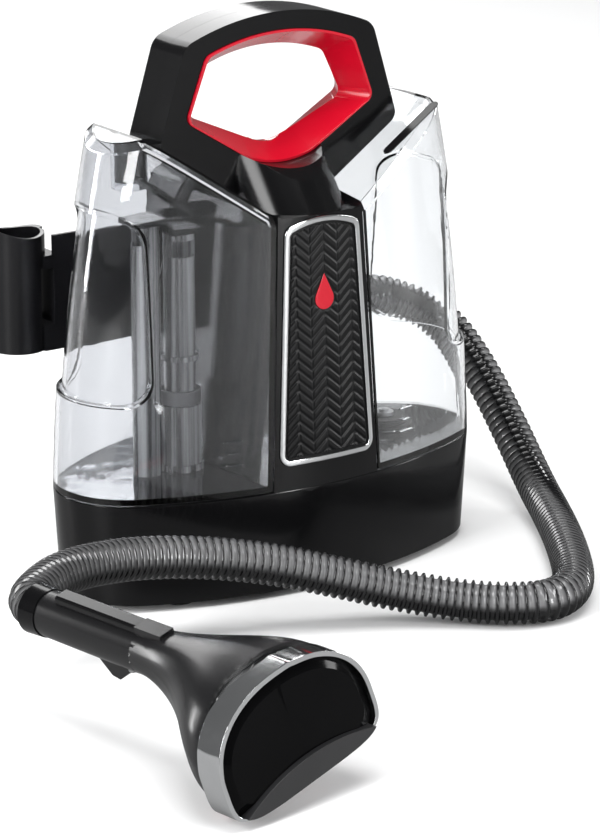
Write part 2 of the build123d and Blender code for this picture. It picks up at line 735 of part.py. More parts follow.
def hose_port():
    """Elbow that carries the hose: out of the rear wall and round to the right."""
    start = Vector(*HOSE_ROUTE[0])
    along = (Vector(*HOSE_ROUTE[1]) - start).normalized()
    heel = start - along * PORT_LEN
    arm = Plane(origin=heel, z_dir=along) * Cylinder(CUFF_R, PORT_LEN, align=FROM_FOOT)
    stub = rod_y(CUFF_R, rear_y(heel.Z) - 4.5, heel.Y, heel.X, heel.Z)
    body = arm + Pos(*heel) * Sphere(CUFF_R) + stub
    bore = Plane(origin=heel, z_dir=along) * Cylinder(PORT_BORE_R, PORT_LEN - 6, align=FROM_FOOT)
    body -= bore + rod_y(PORT_BORE_R, 40, heel.Y, heel.X, heel.Z) + Pos(*heel) * Sphere(PORT_BORE_R)
    return body - body_envelope(0)


def hose_cuff():
    """Rubber cuff that clamps the hose onto the port."""
    start = Vector(*HOSE_ROUTE[0])
    along = (Vector(*HOSE_ROUTE[1]) - start).normalized()
    base = Plane(origin=start - along * 14, z_dir=along)
    outer = base * Cylinder(CUFF_R + 2, 13.5, align=FROM_FOOT)
    return outer - base * Cylinder(CUFF_R, 14, align=FROM_FOOT)


def hose():
    """Ribbed hose as a plain tube of its outer diameter."""
    points = [Vector(*p) for p in HOSE_ROUTE] + [tool_point(0, COLLAR_Y1, GRIP_AXIS_Z)]
    radii = []
    for before, here, after in zip(points, points[1:], points[2:]):
        a, b = here - before, after - here
        half_turn = math.radians(a.get_angle(b)) / 2
        radii.append(0.45 * min(a.length, b.length) / math.tan(half_turn))
    print("hose radii", [round(r) for r in radii])
    path = FilletPolyline(*points, radius=radii)
    start = Plane(origin=path @ 0, z_dir=path % 0)
    tube = sweep(start * Circle(HOSE_D / 2), path=path)
    section = math.pi * HOSE_D ** 2 / 4
    print("hose length", round(path.length), "volume ratio", tube.volume / (path.length * section))
    return tube


def tool_holder():
    """Bracket behind the left tank: a back plate and an open-topped round cup for the tool."""
    plate = block(-HOLDER_X, HOLDER_FOOT_X, HOLDER_Y, HOLDER_Y + HOLDER_T, HOLDER_Z0, HOLDER_Z1)
    foot_y = rear_y(HOLDER_Z1) - 8
    plate += block(HOLDER_FOOT_X - 14, HOLDER_FOOT_X, foot_y, HOLDER_Y, HOLDER_Z0 + 14, HOLDER_Z1 - 8)
    plate -= body_envelope(0)
    cup = ring(CUP_R, CUP_R - HOLDER_T, HOLDER_Z0, HOLDER_Z1 + 6, CUP_X, CUP_Y)
    cup += rod(CUP_R, HOLDER_Z0, HOLDER_Z0 + HOLDER_T, CUP_X, CUP_Y)
    dip = Pos(CUP_X + 3, CUP_Y, HOLDER_Z1 + 40) * Rot(90, 0, 0) * Cylinder(40, 60)
    cup -= dip
    cup -= block(-HOLDER_X - 1, CUP_X + CUP_R + 1, CUP_Y - 60, CUP_Y - 2, HOLDER_Z1 - 12, HOLDER_Z1 + 10)
    web = block(CUP_X + CUP_R - 8, -HOLDER_X + 4, HOLDER_Y, CUP_Y, HOLDER_Z0, HOLDER_Z1 - 12)
    body = plate + cup + web
    window = block(CUP_X + CUP_R - 9, -HOLDER_X, 60, 130, HOLDER_Z0 + 16, HOLDER_Z1 - 20)
    return body - window - rod(CUP_R - HOLDER_T, HOLDER_Z0 + HOLDER_T, HOLDER_Z1 + 20, CUP_X, CUP_Y)


# ---------------------------------------------------------------- tanks
def grip_zone(sign, grow=0.0):
    """Region of the finger recess on the tank's outer end."""
    low, high = GRIP_Z0 - grow, GRIP_Z1 + grow
    near, far = sign * (GRIP_X - grow), sign * 250
    corners = [(near, low), (far, low), (far, high), (near, high)]
    face = xz_face(corners, rounds={0: GRIP_ROUND, 3: GRIP_ROUND})
    return slab(face, -200, 200)


def tank_block(sign, inset=0.0, floor=0.0):
    """One tank's form, moved in by inset, its bottom raised by floor."""
    body = body_envelope(inset) & tower_side(sign, TANK_GAP + inset)
    body = body - above_v(sign, TANK_GAP + inset) - above_outer(sign, inset)
    body &= block(-250, 250, -200, 200, DECK_Z + TANK_GAP + floor, 400)
    return body - (grip_zone(sign, inset) - body_envelope(GRIP_DEPTH + inset))


def on_plane(edge, plane):
    """Whether an edge lies in a plane."""
    return all(abs((edge @ t - plane.origin).dot(plane.z_dir)) < 0.02 for t in (0, 0.5, 1))


def bevel_top(body, sign, inset=0.0):
    """Bevel the front, outer and rear edges of a tank's top."""
    slopes = [v_plane(sign, TANK_GAP + inset), outer_plane(sign, inset)]
    wall = side_plane(sign, TANK_GAP + inset)
    chosen = []
    for edge in body.edges():
        touching = [plane for plane in slopes if on_plane(edge, plane)]
        if len(touching) == 1 and not on_plane(edge, wall):
            chosen.append(edge)
    return chamfer(chosen, TANK_BEVEL)


def tank_shell(sign):
    """Hollow tank with a bevelled top."""
    body = tank_block(sign)
    outer = bevel_top(body, sign)
    inner = bevel_top(tank_block(sign, TANK_WALL, TANK_FLOOR), sign, TANK_WALL)
    return outer - inner


def dirty_tank():
    """Recovery tank with its outlet hole and pour port."""
    body = tank_shell(-1)
    body -= rod(STACK_BORE_R - 1, DECK_Z, DECK_Z + 12, STACK_X, 0)
    body += port_boss() & tank_block(-1, 0.1)
    return body - rod(PORT_R + RUN_FIT, DRAIN_Z - 22, DRAIN_Z + 40, DRAIN_X, DRAIN_Y)


def port_boss():
    """Boss inside the tank round the pour port."""
    return rod(PORT_R + 2, DRAIN_Z - 18, DRAIN_Z + 20, DRAIN_X, DRAIN_Y)


def drain_plug():
    """Rubber stopper in the pour port with a pull tab on top."""
    body = rod(PORT_R, DRAIN_Z - 14, DRAIN_Z + 20, DRAIN_X, DRAIN_Y)
    return body & tank_block(-1, 0.0)


def stack_base():
    """Wide foot of the stack, standing on the tank's floor over its outlet."""
    z0 = DECK_Z + TANK_GAP + TANK_FLOOR
    body = rod(STACK_BASE_R, z0, STACK_BASE_Z, STACK_X, 0) + rod(STACK_BASE_R + 1.2, z0, z0 + 4, STACK_X, 0)
    return body - rod(STACK_R - TUBE_WALL, z0 - 1, STACK_BASE_Z + 1, STACK_X, 0)


def stack_tube():
    """Wide clear tube that carries the air down, with the collar that stops the float."""
    body = ring(STACK_R, STACK_R - TUBE_WALL, STACK_BASE_Z, STACK_TOP_Z, STACK_X, 0)
    stop_z = STACK_BASE_Z + FLOAT_H + FLOAT_TRAVEL + 0.3
    body += ring(STACK_R + 2.0, STACK_R, stop_z, stop_z + 3, STACK_X, 0)
    return body - block(STACK_X - 8, STACK_X + 8, -40, 0, STACK_TOP_Z - 14, STACK_TOP_Z - 4)


def inlet_tube():
    """Narrow clear tube that brings the dirty water up."""
    z0 = DECK_Z + TANK_GAP + TANK_FLOOR
    body = ring(INLET_R, INLET_R - TUBE_WALL, z0, INLET_TOP_Z, INLET_X, 0)
    return body - block(INLET_X - 30, INLET_X, -7, 7, INLET_TOP_Z - 12, INLET_TOP_Z - 3)


def stack_cap():
    """Sloping cap over both tubes that throws the water down."""
    outline = [
        (INLET_X - INLET_R - 3, INLET_TOP_Z), (INLET_X + INLET_R, INLET_TOP_Z),
        (STACK_X - STACK_R, STACK_TOP_Z),
        (STACK_X + STACK_R + 2, STACK_TOP_Z), (STACK_X + STACK_R + 2, STACK_TOP_Z + 3),
        (STACK_X - STACK_R, STACK_TOP_Z + 4), (INLET_X + INLET_R, INLET_TOP_Z + 4),
        (INLET_X - INLET_R - 3, INLET_TOP_Z + 3),
    ]
    wire = Polyline(*[(x, 0, z) for x, z in outline], close=True)
    return slab(make_face(wire), -STACK_R - 1, STACK_R + 1)


def splash_baffle():
    """Dark plate under the tank's top that keeps splashes off the outlet."""
    a = math.radians(V_ANGLE)
    depth = BAFFLE_DEPTH
    x = BAFFLE_X
    z = TOWER_TOP_Z + (abs(x) - V_X) * math.tan(a)
    place = Pos(x, BAFFLE_Y, z) * Rot(0, V_ANGLE, 0) * Pos(0, 0, -depth)
    plate = place * extrude(SlotOverall(BAFFLE_LEN, BAFFLE_W), amount=2)
    stem = place * Pos(BAFFLE_LEN / 2 - BAFFLE_W / 2, 0, 2) * Cylinder(4, depth, align=FROM_FOOT)
    return (plate + stem) & tank_block(-1, TANK_WALL, TANK_FLOOR)


def float_ring():
    """Float that rises round the wide tube and shuts the stack's slot."""
    low, high = STACK_BASE_Z + 0.3, STACK_BASE_Z + FLOAT_H
    return ring(STACK_BASE_R - 0.5, STACK_R + RUN_FIT + 0.03, low, high, STACK_X, 0)


def clean_tank():
    """Clean-water tank with the hole for its valve cap and a dark slot under the top."""
    body = tank_shell(1)
    return body - rod(CAP_R + 0.3, DECK_Z, DECK_Z + 12, VALVE_X, 0)


def tank_strip():
    """Dark strip set along the clean tank's top, just inside its bevel."""
    a = math.radians(V_ANGLE)
    z = TOWER_TOP_Z + (STRIP_X - V_X) * math.tan(a)
    place = Pos(STRIP_X, STRIP_Y, z) * Rot(0, -V_ANGLE, 0) * Pos(0, 0, -TANK_GAP)
    return place * extrude(SlotOverall(STRIP_LEN, STRIP_W), amount=STRIP_T)


def valve_cap():
    """Threaded cap in the clean tank's floor, with ribs to turn it by."""
    z0 = DECK_Z + TANK_GAP
    body = rod(CAP_R, z0, z0 + TANK_FLOOR + 6, VALVE_X, 0)
    body += rod(CAP_R + 3, z0 + TANK_FLOOR + 0.4, z0 + TANK_FLOOR + 3, VALVE_X, 0)
    body -= rod(PLUNGER_R + 2.6, z0 - 1, z0 + 3, VALVE_X, 0)
    body -= rod(PLUNGER_R + RUN_FIT, z0 - 1, z0 + 20, VALVE_X, 0)
    for i in range(8):
        tooth = Pos(CAP_R - 1, 0, z0) * Box(2.4, 1.2, 2.0)
        body -= Pos(VALVE_X, 0, 0) * Rot(0, 0, i * 45 + 22.5) * tooth
    return body


def valve_plunger():
    """Plunger that the deck's pin lifts; shown closed."""
    z0 = DECK_Z + TANK_GAP
    stem = rod(PLUNGER_R, z0 + 1.0, z0 + TANK_FLOOR + 10, VALVE_X, 0)
    return stem + rod(PLUNGER_R + 3, z0 + TANK_FLOOR + 6.3, z0 + TANK_FLOOR + 8.5, VALVE_X, 0)


# ---------------------------------------------------------------- hand tool and grip
def tool_place(piece):
    """Put a piece that was built upright with the mouth on X where the tool lies."""
    return Pos(*TOOL_AT) * Rot(0, 0, TOOL_YAW) * Rot(0, TOOL_ROLL, 0) * piece


def tool_point(x, y, z):
    """A point of the tool in the machine's frame."""
    return Vector(*tool_place(Pos(x, y, z)).position)


def tool_section(y, half_w, low, wide, high, p_top=2.1, p_low=2.1, lean=0.0):
    """Closed outline across the tool: a flattened arch whose widest level is given, in four quarters."""
    slope = math.tan(math.radians(lean))
    tangents = [(0, slope, 1), (-1, 0, 0), (0, -slope, -1), (1, 0, 0), (0, slope, 1)]
    edges = []
    for quarter in range(4):
        power = 2 / (p_top if quarter < 2 else p_low)
        reach = high - wide if quarter < 2 else wide - low
        points = []
        for i in range(SECTION_STEPS + 1):
            angle = math.pi / 2 * (quarter + i / SECTION_STEPS)
            c, s = round(math.cos(angle), 9), round(math.sin(angle), 9)
            x = half_w * math.copysign(abs(c) ** power, c)
            z = wide + reach * math.copysign(abs(s) ** power, s)
            points.append((x, y + z * slope, z))
        edges.append(Spline(*points, tangents=tangents[quarter:quarter + 2]))
    return make_face(edges).faces()[0]


def hood_loft(inset):
    """The tool's hood from the round neck to the wide mouth, moved in by inset."""
    g = GRIP_AXIS_Z
    r = GRIP_R
    stations = [
        (GRIP_Y0, r, g - r, g, g + r, 2.0, 2.0, 0.0),
        (GRIP_Y0 - 20, r + 2.5, g - r - 3, g, g + r + 2, 2.0, 2.2, 0.0),
        (GRIP_Y0 - 43, r + 11, g - r - 11, g - 5, g + r + 5.5, 2.1, 3.0, 0.0),
        (GRIP_Y0 - 65, r + 25, 13, 31, MOUTH_H + 4.5, 2.1, 4.0, 4.0),
        (BAND_Y1, MOUTH_HALF_W - 1, 3.0, 22, MOUTH_H + 5, 2.2, 5.0, FACE_LEAN),
    ]
    faces = []
    for y, half_w, low, wide, high, p_top, p_low, lean in stations:
        faces.append(tool_section(y, half_w - inset, low + inset, wide, high - inset, p_top, p_low, lean))
    return loft(faces)


def tool_hood():
    """Shell of the tool with the spigot that plugs into the grip."""
    shell = hood_loft(0) - hood_loft(TOOL_WALL)
    spigot = rod_y(GRIP_R - GRIP_WALL - 0.3, GRIP_Y0 - 2, GRIP_Y0 + SPIGOT, 0, GRIP_AXIS_Z)
    spigot += rod_y(GRIP_R - 0.5, GRIP_Y0 - 5, GRIP_Y0 - 1, 0, GRIP_AXIS_Z)
    spigot -= rod_y(GRIP_R - GRIP_WALL - 2.2, GRIP_Y0 - 10, GRIP_Y0 + SPIGOT + 1, 0, GRIP_AXIS_Z)
    ridge_foot = GRIP_AXIS_Z + GRIP_R - 1
    ridge = block(-RIDGE_HALF_W, RIDGE_HALF_W, RIDGE_Y0, GRIP_Y0, ridge_foot, RIDGE_TOP_Z) - hood_loft(0.05)
    body = shell + spigot + ridge
    body -= block(-LATCH_HALF_W - 0.2, LATCH_HALF_W + 0.2, LATCH_Y0 - 0.2, LATCH_Y1 + 0.2, 0, GRIP_AXIS_Z - 4)
    slot_x = BRUSH_HALF_W + FIT
    body -= block(-slot_x, slot_x, BRUSH_Y0 - FIT, BRUSH_Y1 + FIT, -5, BRUSH_Z + 6 + FIT)
    return tool_place(body)


def band_prism(grow, y0, y1):
    """Solid across the bright band, made larger by grow."""
    face = tool_section(y0, MOUTH_HALF_W + grow, -grow * 0.2, 22, MOUTH_H + grow, 2.2, 5.0, FACE_LEAN)
    return extrude(face, amount=y1 - y0, dir=(0, 1, 0))


def tool_band():
    """Bright band round the tool's mouth, with a step at its back that meets the hood."""
    body = band_prism(BAND_T, BAND_Y0, BAND_Y1)
    body -= band_prism(0.0, BAND_Y0 - 5, BAND_Y1 - 3)
    body -= band_prism(-3.0, BAND_Y1 - 6, BAND_Y1 + 5)
    return tool_place(body & block(-200, 200, -50, 60, -0.4, 200))


def tool_window():
    """Dark D-shaped front of the mouth."""
    back = tool_section(8.0, MOUTH_HALF_W - 0.1, 0.1, 22, MOUTH_H - 0.1, 2.2, 5.0, FACE_LEAN)
    middle = tool_section(4.5, MOUTH_HALF_W - 0.1, 0.1, 22, MOUTH_H - 0.1, 2.2, 5.0, FACE_LEAN)
    front = tool_section(1.5, MOUTH_HALF_W - 6, 5, 22, MOUTH_H - 6, 2.2, 4.0, FACE_LEAN)
    body = loft([back, middle], ruled=True) + loft([middle, front], ruled=True)
    return tool_place(body - lip_zone(0.1))


def lip_zone(grow=0.0):
    """Lens-shaped zone of the lower lip."""
    rise = LIP_H + grow
    edges = [
        Line((-MOUTH_HALF_W - 5, 0, -6), (MOUTH_HALF_W + 5, 0, -6)),
        Line((MOUTH_HALF_W + 5, 0, -6), (MOUTH_HALF_W + 5, 0, grow)),
        ThreePointArc((MOUTH_HALF_W + 5, 0, grow), (0, 0, rise), (-MOUTH_HALF_W - 5, 0, grow)),
        Line((-MOUTH_HALF_W - 5, 0, grow), (-MOUTH_HALF_W - 5, 0, -6)),
    ]
    return slab(make_face(edges), -40, 60)


def tool_lip():
    """Satin lower lip of the mouth with the suction slot along it."""
    body = band_prism(-0.1, -1.5, 13.0) & lip_zone()
    slot = block(-MOUTH_HALF_W + 9, MOUTH_HALF_W - 9, 4.0, 8.0, -5, 30)
    return tool_place(body - slot)


def brush_base():
    """Bar that carries the bristles behind the lip."""
    body = block(-BRUSH_HALF_W, BRUSH_HALF_W, BRUSH_Y0, BRUSH_Y1, BRUSH_Z, BRUSH_Z + 6)
    return tool_place(body - block(-2, 2, BRUSH_Y0 + 4, BRUSH_Y1 - 4, BRUSH_Z + 3, BRUSH_Z + 7))


def brush_tufts():
    """Bristle tufts in two rows."""
    tufts = []
    count = 15
    for row, y in enumerate((BRUSH_Y0 + 3.2, BRUSH_Y1 - 3.2)):
        for i in range(count):
            x = -BRUSH_HALF_W + 3.4 + i * (2 * BRUSH_HALF_W - 6.8) / (count - 1)
            tuft = Pos(x, y, BRUSH_Z - BRUSH_LEN) * Cylinder(1.9, BRUSH_LEN, align=FROM_FOOT)
            tufts.append(tool_place(tuft))
    return tufts


def spray_tip():
    """Spray nozzle behind the mouth with its feed tube stub."""
    body = rod_y(3.2, 24, 36, 0, 22) + Pos(0, 22, 22) * Rot(90, 0, 0) * Cone(3.2, 1.4, 5)
    body += block(-3, 3, 28, 36, 22, MOUTH_H - 1)
    return tool_place(body - rod_y(0.6, 15, 30, 0, 22))


def release_button():
    """Latch button under the neck."""
    profile = Plane.YZ * make_face(
        Polyline(
            (LATCH_Y0, GRIP_AXIS_Z - 9), (LATCH_Y0, GRIP_AXIS_Z - GRIP_R - 6),
            (LATCH_Y1 - 7, GRIP_AXIS_Z - GRIP_R - 8),
            (LATCH_Y1, GRIP_AXIS_Z - GRIP_R - 2), (LATCH_Y1, GRIP_AXIS_Z - 9), close=True,
        )
    )
    return tool_place(extrude(profile, amount=LATCH_HALF_W, both=True))


def grip_tube():
    """The grip as one tube, before it is cut into halves."""
    body = rod_y(GRIP_R, GRIP_Y0 + 0.15, GRIP_Y1, 0, GRIP_AXIS_Z)
    body -= rod_y(GRIP_R - GRIP_WALL, GRIP_Y0 - 1, GRIP_Y1 + 1, 0, GRIP_AXIS_Z)
    slot_x = TRIGGER_HALF_W + 0.3
    body -= block(-slot_x, slot_x, TRIGGER_Y0 - 2, TRIGGER_Y1 + 1.0, 0, GRIP_AXIS_Z)
    body -= rod_x(PIVOT_R, -TRIGGER_HALF_W - 2.0, TRIGGER_HALF_W + 2.0, TRIGGER_Y0 + 3.5, TRIGGER_PIVOT_Z)
    return body - block(-RIDGE_HALF_W + 1.5, RIDGE_HALF_W - 1.5, GRIP_Y0 + 8, RIDGE_Y1 - 8, GRIP_AXIS_Z, 90)


def grip_half(sign):
    """One side shell of the grip."""
    near, far = sorted((sign * 0.05, sign * 50))
    return tool_place(grip_tube() & block(near, far, 0, 300, 0, 100))


def grip_collar():
    """Tapered collar that joins the hose to the grip."""
    taper = Cone(GRIP_R + 0.6, GRIP_R + 1.2, COLLAR_Y1 - GRIP_Y1, align=FROM_FOOT)
    body = Pos(0, GRIP_Y1, GRIP_AXIS_Z) * Rot(-90, 0, 0) * taper
    return tool_place(body - rod_y(GRIP_R - GRIP_WALL, GRIP_Y1 - 1, COLLAR_Y1 - 3, 0, GRIP_AXIS_Z))


def ridge_cover():
    """Cover along the top of the grip over the solution line."""
    body = block(-RIDGE_HALF_W, RIDGE_HALF_W, GRIP_Y0 + 0.15, RIDGE_Y1, GRIP_AXIS_Z, RIDGE_TOP_Z)
    body = fillet(body.edges().filter_by(Axis.Y).group_by(Axis.Z)[-1], 1.8)
    return tool_place(body - rod_y(GRIP_R + 0.02, 0, 300, 0, GRIP_AXIS_Z))


def spray_valve():
    """Spray valve block over the trigger, with its solution tube back to the collar."""
    z0 = GRIP_AXIS_Z - 3.0
    body = block(-4.5, 4.5, VALVE_Y0, VALVE_Y1, z0, z0 + 11)
    body += rod_y(2.2, VALVE_Y1 - 1, COLLAR_Y1 - 3, 0, z0 + 9)
    return tool_place(body - rod(PIN_R + RUN_FIT, z0 - 1, z0 + 6.5, 0, TRIGGER_PIN_Y))


def spray_plunger():
    """Pin that the trigger pushes into the spray valve."""
    top = GRIP_AXIS_Z - 3.0 + 2.2
    return tool_place(rod(PIN_R, TRIGGER_TOP_Z + 0.5, top, 0, TRIGGER_PIN_Y))


def trigger():
    """Finger trigger under the grip, pivoted at its front end."""
    low = GRIP_AXIS_Z - GRIP_R
    profile = Plane.YZ * make_face(
        Polyline(
            (TRIGGER_Y0, TRIGGER_TOP_Z), (TRIGGER_Y0, low - 0.5), (TRIGGER_Y0 + 8, low - 3.5),
            (TRIGGER_Y0 + 17, low - 10.5), (TRIGGER_Y0 + 23, low - 9.5), (TRIGGER_Y1, low - 1),
            (TRIGGER_Y1, TRIGGER_TOP_Z), close=True,
        )
    )
    body = extrude(profile, amount=TRIGGER_HALF_W, both=True)
    hole = rod_x(PIVOT_R + RUN_FIT, -20, 20, TRIGGER_Y0 + 3.5, TRIGGER_PIVOT_Z)
    return tool_place(body - hole)


def trigger_pin():
    """Pivot pin of the trigger."""
    reach = TRIGGER_HALF_W + 2.0
    return tool_place(rod_x(PIVOT_R, -reach, reach, TRIGGER_Y0 + 3.5, TRIGGER_PIVOT_Z))


# ---------------------------------------------------------------- build all
def build_all():
    """Every node by name."""
    shell = housing()
    return {
        "base_tub": base_tub(),
        "base_plate": base_plate(),
        "base_screws": base_screws(),
        "rubber_feet": rubber_feet(),
        "deck": deck(),
        "stack_gasket": stack_gasket(),
        "clean_seat": clean_seat(),
        "air_duct": air_duct(),
        "housing_front": housing_front(shell),
        "housing_rear": housing_rear(shell),
        "handle_liner": handle_liner(),
        "bezel": bezel(),
        "badge_panel": badge_panel(),
        "badge_mark": badge_mark(),
        "fan_housing": fan_housing(),
        "motor_can": motor_can(),
        "motor_bearings": motor_bearings(),
        "motor_stator": motor_stator(),
        "motor_rotor": motor_rotor(),
        "fan_wheel": fan_wheel(),
        "motor_cushion": motor_cushion(),
        "pump_body": pump_body(),
        "pump_coil": pump_coil(),
        "pump_piston": pump_piston(),
        "pump_feed": pump_feed(),
        "switch_frame": switch_frame(),
        "power_rocker": power_rocker(),
        "cord_gland": cord_gland(),
        "hose_port": hose_port(),
        "hose_cuff": hose_cuff(),
        "hose": hose(),
        "tool_holder": tool_holder(),
        "dirty_tank": dirty_tank(),
        "drain_plug": drain_plug(),
        "stack_base": stack_base(),
        "stack_tube": stack_tube(),
        "inlet_tube": inlet_tube(),
        "stack_cap": stack_cap(),
        "splash_baffle": splash_baffle(),
        "float_ring": float_ring(),
        "clean_tank": clean_tank(),
        "tank_strip": tank_strip(),
        "valve_cap": valve_cap(),
        "valve_plunger": valve_plunger(),
        "tool_hood": tool_hood(),
        "tool_band": tool_band(),
        "tool_window": tool_window(),
        "tool_lip": tool_lip(),
        "brush_base": brush_base(),
        "brush_tufts": brush_tufts(),
        "spray_tip": spray_tip(),
        "release_button": release_button(),
        "grip_left": grip_half(-1),
        "grip_right": grip_half(1),
        "grip_collar": grip_collar(),
        "ridge_cover": ridge_cover(),
        "spray_valve": spray_valve(),
        "spray_plunger": spray_plunger(),
        "trigger": trigger(),
        "trigger_pin": trigger_pin(),
    }


for name, shape in build_all().items():
    whole = Compound(children=shape) if isinstance(shape, list) else shape
    export_step(whole, f"parts/{name}.step")
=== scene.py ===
"""Looks of the spot extractor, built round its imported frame."""

import logging
import math
from collections.abc import Iterable, Mapping, Sequence
from dataclasses import dataclass, field
from enum import Enum

import bmesh
import bpy
from mathutils import Matrix, Vector
from mathutils.bvhtree import BVHTree


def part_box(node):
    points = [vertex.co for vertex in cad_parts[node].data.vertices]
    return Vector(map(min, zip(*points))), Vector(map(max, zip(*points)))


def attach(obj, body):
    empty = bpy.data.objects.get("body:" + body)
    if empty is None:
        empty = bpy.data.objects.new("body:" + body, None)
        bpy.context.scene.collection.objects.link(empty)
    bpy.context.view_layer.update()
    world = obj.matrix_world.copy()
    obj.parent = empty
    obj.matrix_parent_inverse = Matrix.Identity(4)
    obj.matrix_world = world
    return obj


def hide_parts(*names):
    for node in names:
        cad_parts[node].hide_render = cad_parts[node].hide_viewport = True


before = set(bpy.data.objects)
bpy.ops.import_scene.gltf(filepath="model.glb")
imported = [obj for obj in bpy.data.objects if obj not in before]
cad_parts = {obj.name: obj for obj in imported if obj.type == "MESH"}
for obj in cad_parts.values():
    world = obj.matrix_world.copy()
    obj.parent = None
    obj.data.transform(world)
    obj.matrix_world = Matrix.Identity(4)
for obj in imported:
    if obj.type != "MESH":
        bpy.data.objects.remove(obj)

LOG = logging.getLogger("spot_extractor")
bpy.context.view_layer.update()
RAY_RUN_UP = 0.05  # metres in front of a surface from which it is searched
FORWARD = Vector((0, 1, 0))  # from the front of the machine to its back
Colour = tuple[float, float, float]


# ---------------------------------------------------------------- shader wrapper
class Signal:
    """A number that varies over a surface; Python's operators add Math nodes."""

    def __init__(self, sheet: "NodeSheet", socket: bpy.types.NodeSocket) -> None:
        """Wraps one output socket of a node sheet."""
        self.sheet = sheet
        self.socket = socket

    def _math(
        self, operation: str, first: "Operand", second: "Operand" = 0.0, clamp: bool = False
    ) -> "Signal":
        """Adds one Math node.

        Args:
            operation: Blender's name of the operation.
            first: Left operand.
            second: Right operand.
            clamp: Whether the result is held between 0 and 1.

        Returns:
            The node's result.
        """
        settings = {"operation": operation, "use_clamp": clamp}
        return self.sheet.node("ShaderNodeMath", settings, {0: first, 1: second})

    def __add__(self, other: "Operand") -> "Signal":
        """self + other."""
        return self._math("ADD", self, other)

    def __radd__(self, other: "Operand") -> "Signal":
        """other + self."""
        return self._math("ADD", other, self)

    def __sub__(self, other: "Operand") -> "Signal":
        """self - other."""
        return self._math("SUBTRACT", self, other)

    def __rsub__(self, other: "Operand") -> "Signal":
        """other - self."""
        return self._math("SUBTRACT", other, self)

    def __mul__(self, other: "Operand") -> "Signal":
        """self * other."""
        return self._math("MULTIPLY", self, other)

    def __rmul__(self, other: "Operand") -> "Signal":
        """other * self."""
        return self._math("MULTIPLY", other, self)

    def __pow__(self, other: "Operand") -> "Signal":
        """self ** other."""
        return self._math("POWER", self, other)

    def held(self) -> "Signal":
        """The same signal held between 0 and 1."""
        return self._math("ADD", self, 0.0, clamp=True)


Operand = Signal | float
Paint = Signal | Colour
MIX_SHARE, MIX_LOW, MIX_HIGH, MIX_COLOUR = 0, 6, 7, 2  # sockets of a Mix node set to colour


def opaque(colour: Paint) -> object:
    """Adds full alpha to a plain colour; a signal stays as it is."""
    return colour if isinstance(colour, Signal) else (*colour, 1.0)


class NodeSheet:
    """A node tree, of a material or of the studio's sky."""

    def __init__(self, tree: bpy.types.NodeTree) -> None:
        """Takes the tree as it is."""
        self.tree = tree

    def node(
        self,
        kind: str,
        settings: Mapping[str, object] | None = None,
        inputs: Mapping[str | int, object] | None = None,
        output: str | int = 0,
    ) -> Signal:
        """Adds any node.

        Args:
            kind: Blender's type name of the node.
            settings: Properties set before the sockets; "stops" gives a ramp's stops.
            inputs: Value or signal for each socket, by name or place.
            output: The output socket that is returned.

        Returns:
            The chosen output.
        """
        made = self.tree.nodes.new(kind)
        for key, value in (settings or {}).items():
            if key == "stops":
                self._set_stops(made.color_ramp, value)
            else:
                setattr(made, key, value)
        for key, value in (inputs or {}).items():
            self.feed(made.inputs[key], value)
        return Signal(self, made.outputs[output])

    @staticmethod
    def _set_stops(ramp: bpy.types.ColorRamp, stops: Sequence[tuple[float, Colour]]) -> None:
        """Gives a ramp its stops."""
        while len(ramp.elements) < len(stops):
            ramp.elements.new(1.0)
        for element, (place, colour) in zip(ramp.elements, stops):
            element.position = place
            element.color = (*colour, 1.0)

    def feed(self, socket: bpy.types.NodeSocket, value: object) -> None:
        """Links a signal to a socket, or sets the socket's own value."""
        if isinstance(value, Signal):
            self.tree.links.new(value.socket, socket)
        else:
            socket.default_value = value


class PaintSheet(NodeSheet):
    """The node tree of one material."""

    def __init__(self, name: str) -> None:
        """Starts a material that holds only its Principled shader."""
        self.material = bpy.data.materials.new(name)
        self.material.use_nodes = True
        super().__init__(self.material.node_tree)
        self.shader = self.tree.nodes["Principled BSDF"]

    def set(self, **sockets: object) -> None:
        """Sets sockets of the Principled shader; underscores stand for spaces."""
        for name, value in sockets.items():
            self.feed(self.shader.inputs[name.replace("_", " ")], value)

    def place(self) -> Signal:
        """The surface's own place, in metres."""
        return self.node("ShaderNodeTexCoord", output="Object")

    def noise(
        self, per_metre: float, detail: float = 3.0, stretch: Colour = (1.0, 1.0, 1.0)
    ) -> Signal:
        """Cloudy noise.

        Args:
            per_metre: Cells in one metre.
            detail: Octaves.
            stretch: Scale of each axis.

        Returns:
            Noise between 0 and 1.
        """
        mapped = self.node("ShaderNodeMapping", {}, {"Vector": self.place(), "Scale": stretch})
        inputs = {"Vector": mapped, "Scale": per_metre, "Detail": detail}
        return self.node("ShaderNodeTexNoise", {}, inputs, "Fac")

    def blend(self, share: Signal, low: "Paint", high: "Paint") -> Signal:
        """Mixes two colours, or signals that carry a colour, by a signal."""
        inputs = {MIX_SHARE: share, MIX_LOW: opaque(low), MIX_HIGH: opaque(high)}
        return self.node("ShaderNodeMix", {"data_type": "RGBA"}, inputs, MIX_COLOUR)

    def relief(self, height: Signal, depth: float, strength: float = 1.0) -> Signal:
        """Bump from a height signal; depth is in metres."""
        inputs = {"Height": height, "Distance": depth, "Strength": strength}
        return self.node("ShaderNodeBump", {}, inputs, "Normal")


